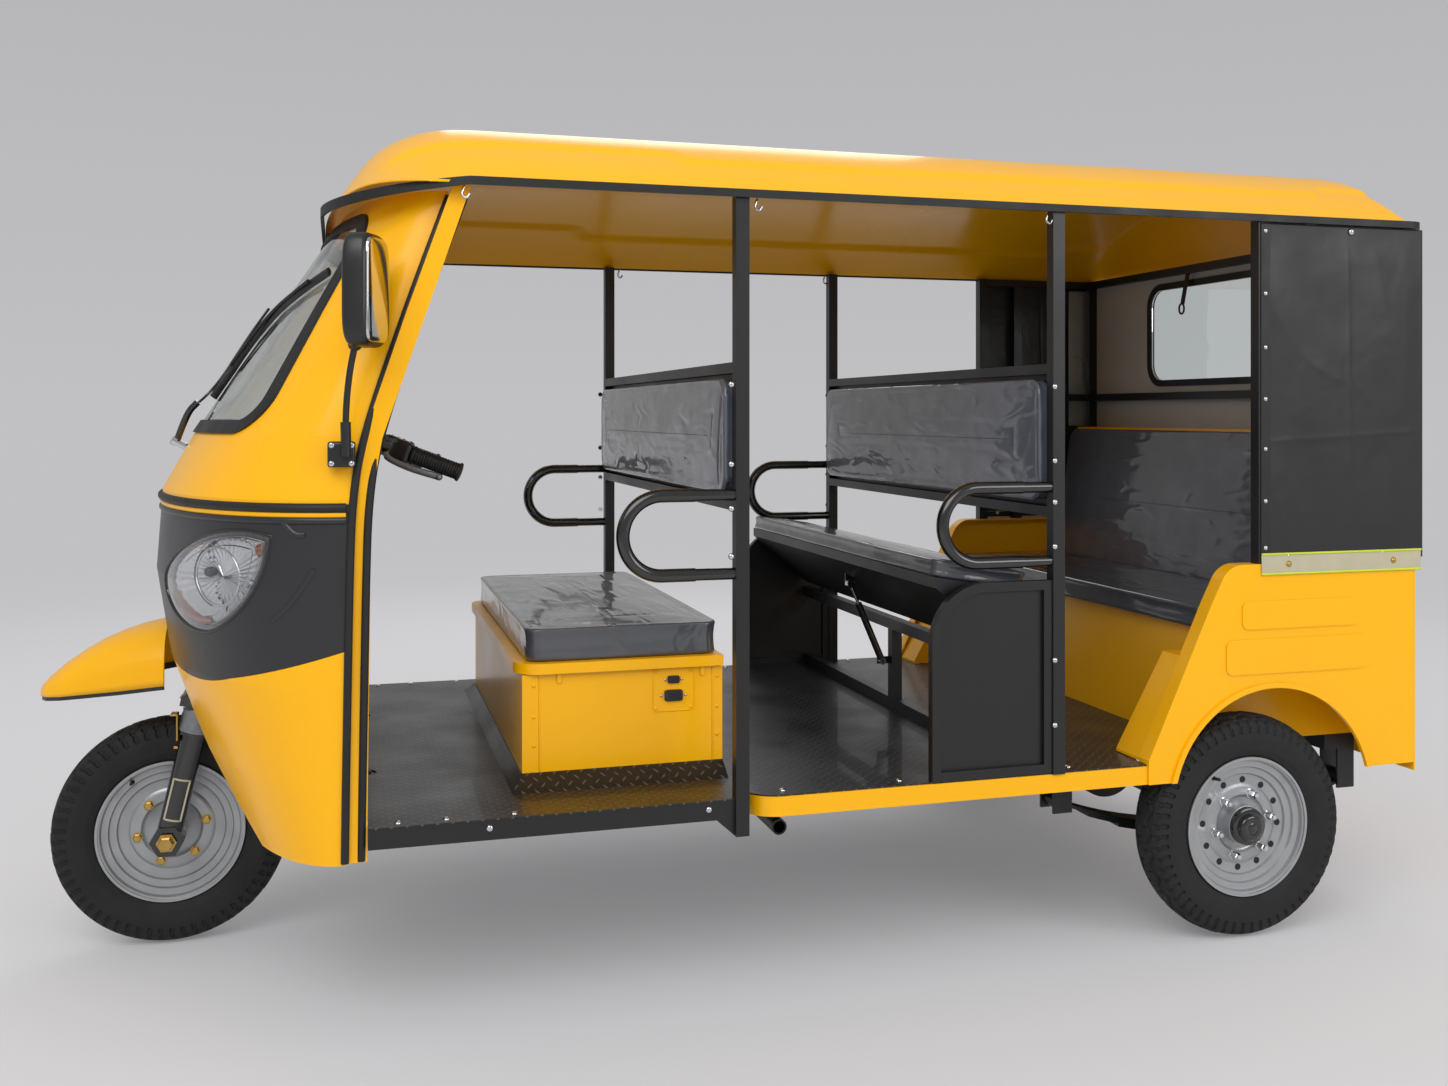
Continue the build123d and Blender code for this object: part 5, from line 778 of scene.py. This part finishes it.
# %% Edge rubbers, band lip and strokes
BAND_LINES = (("moulding", 1015.5, 9, 14, (1, 1), seal_rubber),
              ("yellow_strip", 1002.5, 5, 12, (0.6, 1), yellow_enamel),
              ("lip", 991.5, 6, 12, (0.8, 1.1), satin_band))
STROKES = (((262, 992), (302, 966)), ((240, 802), (318, 902)))
for side, sign in SIDES:
    for label, back, outward in (("front", 1, 1.5), ("rear", 31, -5.5)):
        rows = np.stack([NOSE_ROWS[::-1, 2] + back, sign * (NOSE_ROWS[::-1, 3] + outward), NOSE_ROWS[::-1, 0]], -1)
        rows[0, 2], rows[-1, 2] = 1612, 352
        make_piece(f"{side}_{label}_edge_rubber", seal_rubber,
                   rod(smooth_path(spots(*rows)), 7.5, 14, (0, 1, 0), squash=(1.0, 0.8)))
    sweep = np.linspace(0.0, 0.985, 60) * math.pi / 2
    for label, level, radius, turns, squash, finish in BAND_LINES:
        front, rear, half = nose_row(level)
        run = spot(rear - (rear - front) * np.cos(sweep), sign * half * np.sin(sweep), level)
        make_piece(f"{side}_band_{label}", finish, rod(run, radius, turns, squash=squash))
    for stroke, ends in enumerate(STROKES):
        run = np.linspace(0, 1, 24)[:, None]
        place = np.array(ends[0]) * (1 - run) + np.array(ends[1]) * run + np.array((0, -10)) * np.sin(run * math.pi)
        make_piece(f"{side}_band_stroke_{stroke}", satin_band,
                   rod(nose_skin(*place.T, 1.2, sign), 4, 10, (0, sign, 0.1), squash=(1.6, 1)))

# %% [markdown]
# A mirror housing is an ellipsoid whose corners are filled out. It carries an amber lens on its front, a
# raised face behind and a ball joint below, on a stem whose foot is bolted to the pillar.

# %% Side mirrors
for side, sign in SIDES:
    swing = math.radians(25) * sign
    facing = np.array((math.cos(swing), math.sin(swing), 0))
    beside = np.array((-math.sin(swing), math.cos(swing), 0))
    axes = (facing, beside, (0, 0, 1))
    centre = spot(409, sign * 725, 1418)
    lens_at = centre - facing * 22.5 * MM + beside * sign * 16 * MM - np.array((0, 0, 0.03))
    for label, place, half, fill, finish in (("shell", centre, (27, 57, 105), 0.42, moulded_black),
                                             ("glass", centre + facing * 22 * MM, (6.5, 49, 96), 0.35, bright_chrome),
                                             ("cap", centre - facing * 21 * MM, (8, 42, 86), 0.4, moulded_black),
                                             ("turn_lens", lens_at, (8, 6.5, 40), 0.5, amber_lens)):
        make_piece(f"{side}_mirror_{label}", finish, squared_ellipsoid(place, axes, half, fill), sharp=60,
                   instead="side_mirrors" if label == "shell" else None)
    stem = smooth_path(spots((375, sign * 716, 1128), (374, sign * 717, 1190), (380, sign * 721, 1262),
                             (390, sign * 724, 1314)))
    sleeve = smooth_path(spots((375, sign * 716, 1112), (375, sign * 716, 1140), (374, sign * 717, 1176)), 1)
    ball = squared_ellipsoid(spot(391, sign * 724, 1318), axes, (13, 13, 12), 1.0, 16, 24)
    make_piece(f"{side}_mirror_stem", moulded_black, rod(stem, 6, up=(0, 1, 0)), rod(sleeve, 9.5, up=(0, 1, 0)), ball)
    soften(make_piece(f"{side}_mirror_bracket", moulded_black, block_shape((342, sign * 680, 1092),
                                                                           (392, sign * 709, 1140))), 5, 3)
    screws = [spot(x, sign * 709, z) for x in (349, 385) for z in (1099, 1133)]
    make_piece(f"{side}_mirror_screws", bright_chrome, *bolts(screws, (0, sign, 0), 7, 3, 16), sharp=30)

# %% [markdown]
# One wiper parks low on the windscreen's left half: a spindle cap, a thick sleeve, a thin wire arm and a
# blade that follows the glass. Its places were read off the nose's skin.

# %% Wiper
def over_glass(places, proud):
    """Points along (x, z) places of the left skin, each lifted proud mm off it."""
    return nose_skin(*np.array(places, float).T, -proud, -1)


arm = smooth_path(np.concatenate([spots((16, -60, 1138), (40, -84, 1196)),
                                  over_glass(((110, 1240), (190, 1345), (236, 1405)), 22)]))
sleeve = smooth_path(spots((14, -58, 1130), (40, -84, 1196), (62, -92, 1218)), 2)
make_piece("wiper_arm", gloss_black, rod(arm, 3, 10), rod(sleeve, 7.5, 14))
spindle = ((-32, 0), (-32, 8), (0, 8), (0, 12), (9, 12), (12, 8), (13, 0))
make_piece("wiper_spindle", bright_chrome, turned_shape(spindle, spot(14, -58, 1128), (-0.85, 0, 0.5), 24))
blade = smooth_path(over_glass(((106, 1222), (160, 1310), (240, 1400), (300, 1440), (352, 1469)), 10))
carrier = smooth_path(over_glass(((150, 1290), (236, 1398), (318, 1450)), 18))
make_piece("wiper_blade", seal_rubber, rod(blade, 4.5, 10, squash=(1, 2)), rod(carrier, 4, 10))

# %% [markdown]
# Wheel fastenings: six gold-plated bolts hold the front wheel's two halves, and six long chrome nuts hold
# each rear wheel, round a stepped black hub cap. Every rim has a valve through it.

# %% Wheel bolts, nuts, caps and valves
def wheel_ring(x, y, radius, count, lift, start=0.2):
    """Places on a circle round an axle, radius and lift in mm; lift is signed along Y."""
    turn = start + np.arange(count) * 2 * math.pi / count
    return np.stack([x + radius * MM * np.cos(turn), np.full(count, y + lift * MM),
                     WHEEL_Z + radius * MM * np.sin(turn)], -1)


VALVE = ((-4, 0), (-4, 5), (3, 5), (5, 3.6), (24, 3.6), (25, 2.5), (25, 0))
LUG_NUT = ((0, 0), (0, 12), (3, 12), (4, 9.5), (20, 9.5), (22, 7), (26, 5.5), (27, 0))
HUB_CAP = ((29, 0), (29, 43), (34, 44), (42, 42), (44, 38), (44.5, 31), (53, 29.5), (56, 26), (57, 18), (55, 12),
           (57, 8), (57, 0))
# A thin flat disc: dark rubber painted where the rim's holes show only shade.
HOLE_SHADE_DISC = ((0, 0), (0, 7.5), (0.8, 7.5), (0.8, 0))
make_piece("front_wheel_bolts", gold_zinc, *bolts(wheel_ring(AXLE_X, 0, 74, 6, -14.4), (0, -1, 0), 17, 9),
           *bolts(wheel_ring(AXLE_X, 0, 74, 6, 8), (0, 1, 0), 15, 8), body="front_wheel", sharp=30)
for name, x, y in WHEELS:
    body = f"{name}_wheel"
    out = 1 if y > 0 else -1
    axis = (0, out, 0)
    valve_at = wheel_ring(x, y, 139, 1, out * 24, 2.2)[0]
    make_piece(f"{name}_valve", seal_rubber, turned_shape(VALVE, valve_at, (0, out, 0.1), 14), body=body)
    if y:
        nuts = [turned_shape(LUG_NUT, place, axis, 6) for place in wheel_ring(x, y, 72, 6, out * 14.2)]
        # Painted shade: thin dark discs on the rim face stand in for the shade seen through its holes.
        hole_shades = [turned_shape(HOLE_SHADE_DISC, place, axis, 20) for place in wheel_ring(x, y, 100, 12, out * 9.9, 0.46)]
        make_piece(f"{name}_lug_nuts", bright_chrome, *nuts, body=body, sharp=30)
        make_piece(f"{name}_hub_cap", gloss_black, turned_shape(HUB_CAP, (x, y, WHEEL_Z), axis), body=body)
        make_piece(f"{name}_hole_shade_discs", seal_rubber, *hole_shades, body=body, sharp=30)

# %% [markdown]
# The fork gets gold axle nuts on its six-sided lugs, a gold cable bracket over each cast collar, and the
# white-outlined dark reflector on each leg, laid on the leg's round skin.

# %% Fork fittings
LEG_Y, LEG_RADIUS = 91, 27
COLLAR = ((-26, 33.5), (-26, 36), (-20, 36.8), (-4, 35.6), (6, 36.8), (14, 35.4), (20, 36.5), (24, 33.5))
outline = np.array(((17, 133), (17, 46), (-17, 46), (-17, 133), (17, 133)), float)
beside, up_leg = np.concatenate([np.linspace(a, b, 10, endpoint=False) for a, b in zip(outline, outline[1:])]).T
along = up_leg / math.cos(RAKE)
bulge = np.sqrt(LEG_RADIUS ** 2 - beside ** 2)
for side, sign in SIDES:
    nut = bolts([np.array((AXLE_X, sign * 0.1248, WHEEL_Z))], (0, sign, 0), 30, 16)
    make_piece(f"{side}_axle_nut", gold_zinc, *nut, body="steering", sharp=30)
    edge = spot(beside * math.cos(RAKE) + along * math.sin(RAKE), sign * (LEG_Y + bulge),
                WHEEL_Z / MM + along * math.cos(RAKE) - beside * math.sin(RAKE))
    make_piece(f"{side}_reflector_edge", hem_strip, strap(edge, 1.92, -1.2, 1.2, NEARLY_ACROSS, True), body="steering",
               sharp=30)
    make_piece(f"{side}_cast_collar", cast_alloy, turned_shape(COLLAR, spot(62, sign * 90, 512),
                                                               (math.sin(RAKE), 0, math.cos(RAKE))),
               body="steering", sharp=30)
    soften(make_piece(f"{side}_cable_bracket", gold_zinc, block_shape((18, sign * 84, 470), (22, sign * 108, 530)),
                      block_shape((6, sign * 80, 526), (22, sign * 112, 530)),
                      block_shape((12, sign * 88, 452), (22, sign * 104, 458)), body="steering", sharp=30), 1.2)

# %% [markdown]
# The handlebar's grips are ribbed rubber sleeves with end discs. Each has a switch housing inboard, with
# two small knobs, and a cast lever in front that follows the grip.

# %% Grips, switches and levers
KNOB = ((0, 0), (0, 5), (5, 5), (6, 4), (6, 0))
for side, sign in SIDES:
    root, tip = spot(500, sign * 316, 1108), spot(606, sign * 348, 1068)
    way = (tip - root) / np.linalg.norm(tip - root)
    span = np.linalg.norm(tip - root) * 1000
    steps = np.linspace(18, span - 3, 90)
    ribs = 17.0 + 1.3 * np.abs(np.sin(steps * math.pi / 6.0))
    profile = np.concatenate([[(17, 0), (17, 20.5), (20, 21), (22, 18)], np.stack([steps + 6, ribs], -1),
                              [(span + 4, 20.5), (span + 8, 20.5), (span + 9, 17), (span + 9, 0)]])
    make_piece(f"{side}_grip", seal_rubber, turned_shape(profile, root, way, 32), body="steering")
    u, v, _ = directions(way)
    box_at = root - way * 0.008
    make_piece(f"{side}_switch_housing", moulded_black, squared_ellipsoid(box_at, (way, u, v), (24, 20, 25), 0.5),
               body="steering", sharp=60)
    knobs = [turned_shape(KNOB, box_at + way * shift * MM + np.array((0.012, 0, 0.017)), (0.6, 0, 0.8), 18)
             for shift in (-9, 8)]
    make_piece(f"{side}_switch_knobs", gloss_black, *knobs, body="steering")
    lever = smooth_path([box_at + np.array((-0.024, 0, -0.004)), root + np.array((-0.046, sign * 0.004, -0.006)),
                         root + way * 0.06 + np.array((-0.050, 0, -0.012)),
                         root + way * 0.112 + np.array((-0.032, 0, -0.014))])
    ball = squared_ellipsoid(lever[-1], LEVEL_AXES, (8, 8, 8), 1.0, 12, 16)
    make_piece(f"{side}_lever", cast_alloy, rod(lever, 5, 12, squash=(1, 1.5)), ball, body="steering")

# %% [markdown]
# The driver's seat box has a small panel with two sockets on its left side, screws along its corners and
# clips under the flange. The grab bars wear thick sleeves that stop short of the posts, and chrome domes
# mark the bolts.

# %% Seat box panel and screws
SOCKETS = (("upper", 623, (13, 6, 8), (6, 4), 18), ("lower", 589, (20, 6, 12), (9, 5), 27))
panel_x, panel_z = (plan_ring(45.5, 45.5, 9, 120) + (1051.5, 601.5)).T
make_piece("socket_panel_bead", yellow_enamel, rod(spot(panel_x, -490.5, panel_z), 1.5, 8, NEARLY_ACROSS, True))
for label, z, half, _, _ in SOCKETS:
    plug = squared_ellipsoid(spot(1051, -491.5, z), LEVEL_AXES, half, 0.3)
    make_piece(f"socket_{label}", moulded_black, plug, sharp=50)
make_piece("socket_wells", seal_rubber, *[block_shape((1051 - w, -498.2, z - h), (1051 + w, -490, z + h))
                                          for _, z, _, (w, h), _ in SOCKETS], sharp=30)
box_screws = [spot(x, -490, z) for x in (752, 1148) for z in (500, 560, 625)]
box_screws += [spot(x, -490, z) for x in (1013, 1090) for z in (562, 641)]
make_piece("seat_box_screws", yellow_enamel, *domes(box_screws, (0, -1, 0), 4))
socket_screws = [spot(1051 + shift, -491, z) for _, z, _, _, reach in SOCKETS for shift in (reach, -reach)]
make_piece("socket_screws", bright_chrome, *domes(socket_screws, (0, -1, 0), 3.2))

# %% Seams, post bolts, bar sleeves and floor screws
POST_HEIGHTS = (1001, 905, 1090, 1250)
POST_BOLTS = (([(1119, z) for z in POST_HEIGHTS] + [(1846, z) for z in POST_HEIGHTS + (660, 520)], 699.6, 6.5),
              ([(2440, 868), (2700, 868)], 699.6, 6), ([(1075, 398), (640, 398)], 690, 7))
BAR_LOOPS = ((900, 1095, 869, 1028), (1588, 1822, 873, 1033))
for side, sign in SIDES:
    seams = [block_shape((x, sign * 489.5, 448), (x + 3, sign * 492, 648)) for x in (762, 1136)]
    clips = [block_shape((x, sign * 489, 628), (x + 10, sign * 494, 650)) for x in (800, 1110)]
    soften(make_piece(f"{side}_seat_box_seams", yellow_enamel, *seams, *clips, sharp=30), 1)
    heads = [domes([spot(x, sign * y, z) for x, z in places], (0, sign, 0), radius) for places, y, radius in POST_BOLTS]
    make_piece(f"{side}_post_bolts", bright_chrome, *sum(heads, []))
    sleeves = []
    for front_x, post_x, low, high in BAR_LOOPS:
        bend = (high - low) / 2
        turn = np.linspace(0, math.pi, 40)
        arc = spot(front_x + bend - bend * np.sin(turn), sign * 686, (low + high) / 2 - bend * np.cos(turn))
        straight = np.linspace(1, 0, 6, endpoint=False)[:, None] * (post_x - 48 - front_x - bend) * MM * (1, 0, 0)
        loop = np.concatenate([arc[0] + straight, arc, arc[-1] + straight[::-1]])
        sleeves.append(rod(loop, 13.6, 20, (0, 1, 0)))
    make_piece(f"{side}_bar_sleeves", gloss_black, *sleeves)
floor_screws = [spot(x, y, 416) for x in (470, 560, 689) for y in (-670, 670)]
floor_screws += [spot(x, y, 416) for x in (1240, 1500, 1900, 2180) for y in (-660, 660)]
make_piece("floor_screws", bright_chrome, *domes(floor_screws, (0, 0, 1), 7))

# %% [markdown]
# The side curtains are coated canvas stretched from the roof rim to the quarter panel. Each is one thin
# surface with soft waves up to 4 mm deep, fading at its fixed edges, and two pressed fold lines that
# cross near its middle. Press studs run down a sewn strip at the front edge. Below the canvas hangs the
# beige hem strip between two lines of piping.

# %% Side curtains
CURTAIN_LOW, CURTAIN_HIGH = (2366.5, 855.5), (2813.5, 1623.5)
STUD_HEIGHTS = (888, 994, 1112, 1225, 1342, 1464, 1606)
s, h = np.meshgrid(np.linspace(0, 1, 110), np.linspace(0, 1, 180), indexing="ij")
x = CURTAIN_LOW[0] + (CURTAIN_HIGH[0] - CURTAIN_LOW[0]) * s
z = CURTAIN_LOW[1] + (CURTAIN_HIGH[1] - CURTAIN_LOW[1]) * h
flat = np.stack([x, np.zeros_like(x), z], -1) * MM
hold = ease(s * 9) * ease((1 - s) * 9) * ease(h * 9) * ease((1 - h) * 9)
fold = np.clip(1 - np.abs(ripples(flat * (1, 1, 0.7), 11, 0.34, 5)), 0, 1) ** 6
crossing = np.exp(-np.abs(s - 0.55 + 0.03 * h) / 0.012) + np.exp(-np.abs(h - 0.355 - 0.03 * s) / 0.007)
wave = (1.6 + ripples(flat, 12, 0.3, 5)) * 1.2 + fold + crossing * 1.6 * np.exp(-((h - 0.6) / 0.5) ** 2)
for side, sign in SIDES:
    sheet = spot(x, sign * (700.9 + wave * hold), z)
    curtain = make_piece(f"{side}_curtain", curtain_cloth, (sheet, grid_faces(110, 180)), sharp=60, outwards=False,
                         instead="side_curtains")
    thicken(curtain, "cloth_thickness", 1.4, 0)
    face = sign * 703
    tape = block_shape((2368, sign * 701, 829), (2808, face, 872))
    hem = soften(make_piece(f"{side}_hem_strip", hem_strip, tape), 0.8)
    edges = [rod(np.linspace(spot(2368, face, level), spot(2808, face, level), 30), 2.6, 10) for level in (828, 873)]
    piping = make_piece(f"{side}_hem_piping", lime_piping, *edges)
    sewn = block_shape((2367, sign * 701.5, 876), (2391, face, 1622))
    strip = soften(make_piece(f"{side}_stud_strip", seal_rubber, sewn), 0.8)
    studs = make_piece(f"{side}_studs", bright_chrome,
                       *domes([spot(2378, face, level) for level in STUD_HEIGHTS], (0, sign, 0), 5.5),
                       *domes([spot(2611, face, 1612)], (0, sign, 0), 8))
    knobs = make_piece(f"{side}_hem_knobs", gold_zinc,
                       *domes(spots((2440, face, 850), (2729, face, 850)), (0, sign, 0), 7))

# %% [markdown]
# The last small things: hooks under the roof rim, the brushed corner plates beside the rear wall, and the
# strap with its buckle that hangs in front of the rear window.

# %% Hooks, corner plates and strap
for side, sign in SIDES:
    hooks = [rod(smooth_path(spots((x, sign * 690, 1626), (x - 6, sign * 692, 1608), (x + 4, sign * 694, 1600),
                                   (x + 10, sign * 694, 1610)), 2), 2.6, 10, (0, 1, 0)) for x in (592, 1176, 1834)]
    make_piece(f"{side}_rim_hooks", bright_chrome, *hooks)
    plate = block_shape((2700, sign * 694.5, 1152), (2788, sign * 696, 1600))
    soften(make_piece(f"{side}_corner_plate", brushed_steel, plate, sharp=30), 0.5)
hanging = smooth_path(spots((2780, 150, 1630), (2774, 154, 1590), (2770, 162, 1545), (2771, 170, 1520)), 2)
turn = np.linspace(0, 2 * math.pi, 24, endpoint=False)
buckle = spot(2769, 172 + 12 * np.cos(turn), 1504 + 15 * np.sin(turn))
make_piece("curtain_strap", seal_rubber, strap(hanging, 1, -9, 9, NEARLY_ACROSS), sharp=30)
make_piece("strap_buckle", moulded_black, rod(buckle, 3, 10, (1, 0, 0), True))

# %% [markdown]
# The studio is a pale floor that fades into the backdrop, so that no horizon shows. The world lights the
# vehicle evenly, but Light Path lets the camera and the glass see the photograph's grey backdrop, darker
# at the top. Mirror reflections see a duller sky than matt surfaces do, as in a grey-walled room.

# %% Floor and backdrop
BACKDROP_LOW = "#C1C1C4"
BACKDROP_HIGH = "#B0B0B3"
MATT_SKY, MIRROR_SKY = 0.78, 0.42
FADE_START, FADE_END, FADE_NEAR = 4.2, 9.0, 0.28
world = bpy.data.worlds.new("studio")
bpy.context.scene.world = world
world.use_nodes = True
sky = world.node_tree
sky.nodes.clear()
path_kind = add_node(sky, "LightPath")
way = add_node(sky, "TexCoord")
split = add_node(sky, "SeparateXYZ", {0: way.outputs["Generated"]})
height = add_node(sky, "MapRange", {0: split.outputs["Z"], 1: 0.0, 2: 0.45})
shade = add_node(sky, "Mix", {0: height, 6: linear(BACKDROP_LOW), 7: linear(BACKDROP_HIGH)}, data_type="RGBA")
seen = add_node(sky, "Math", {0: path_kind.outputs["Is Camera Ray"], 1: path_kind.outputs["Is Transmission Ray"]},
                operation="MAXIMUM")
level = add_node(sky, "MapRange", {0: path_kind.outputs["Is Glossy Ray"], 3: MATT_SKY, 4: MIRROR_SKY})
lit = add_node(sky, "Background", {"Color": (1, 1, 1, 1), "Strength": level})
shown = add_node(sky, "Background", {"Color": shade.outputs[2], "Strength": 1.0})
blend = add_node(sky, "MixShader", {0: seen, 1: lit, 2: shown})
add_node(sky, "OutputWorld", {"Surface": blend})

floor_paint, tree, shader = new_finish("studio_floor", "#D9D8DA", 0.9)
shader.inputs["Specular IOR Level"].default_value = 0.0
place = add_node(tree, "TexCoord").outputs["Object"]
away = add_node(tree, "VectorMath", {0: place}, operation="LENGTH")
fade = add_node(tree, "MapRange", {0: away.outputs["Value"], 1: FADE_START, 2: FADE_END, 3: FADE_NEAR},
                interpolation_type="SMOOTHSTEP")
far = add_node(tree, "Emission", {"Color": linear(BACKDROP_LOW), "Strength": 1.0})
cover = add_node(tree, "MixShader", {0: fade, 1: shader, 2: far})
tree.links.new(cover.outputs[0], tree.nodes["Material Output"].inputs["Surface"])
radius = np.array((0.0, 6.0, 40.0))[:, None]
turn = np.linspace(0, 2 * math.pi, 96, endpoint=False)
disc = np.stack([radius * np.cos(turn), radius * np.sin(turn), np.full((3, 96), -0.0005)], -1)
floor = make_piece("studio_floor", floor_paint, (disc, grid_faces(3, 96, False, True)), body=None, outwards=False)

# %% [markdown]
# Three soft lamps. The large one high over the front left makes the long highlights on roof and nose, a
# second fills the left side from the back, and a weak one on the right keeps the far side readable.

# %% Lamps
LAMPS = (("key_lamp", (-2.6, -4.2, 4.6), (0, 0, 0.9), (4.8, 3.4), 165),
         ("side_lamp", (3.2, -4.4, 2.6), (0.4, 0, 0.9), (2.6, 1.8), 60),
         ("back_lamp", (1.0, 4.2, 3.8), (0, 0, 1.0), (3.0, 1.8), 35))
for name, place, aim, size, power in LAMPS:
    lamp = bpy.data.lights.new(name, "AREA")
    lamp.shape = "RECTANGLE"
    lamp.size, lamp.size_y = size
    lamp.energy = power
    holder = bpy.data.objects.new(name, lamp)
    holder.location = place
    holder.rotation_euler = (Vector(aim) - Vector(place)).to_track_quat("-Z", "Y").to_euler()
    bpy.context.scene.collection.objects.link(holder)

# %% [markdown]
# The camera stands where the photograph was taken, found from the wheels and the roof edges: level, at
# seated eye height, in front of the left side. The shift only matches the photograph's framing.

# %% Camera
lens = bpy.data.cameras.new("photo_camera")
lens.sensor_width = 36
lens.lens = 33.34
lens.shift_y = -0.0887
camera = bpy.data.objects.new("photo_camera", lens)
camera.location = (-0.9158, -3.2801, 1.1896)
camera.rotation_euler = (math.radians(90), 0, math.radians(-16.06))
bpy.context.scene.collection.objects.link(camera)
bpy.context.scene.camera = camera
bpy.context.scene.view_settings.view_transform = "Standard"
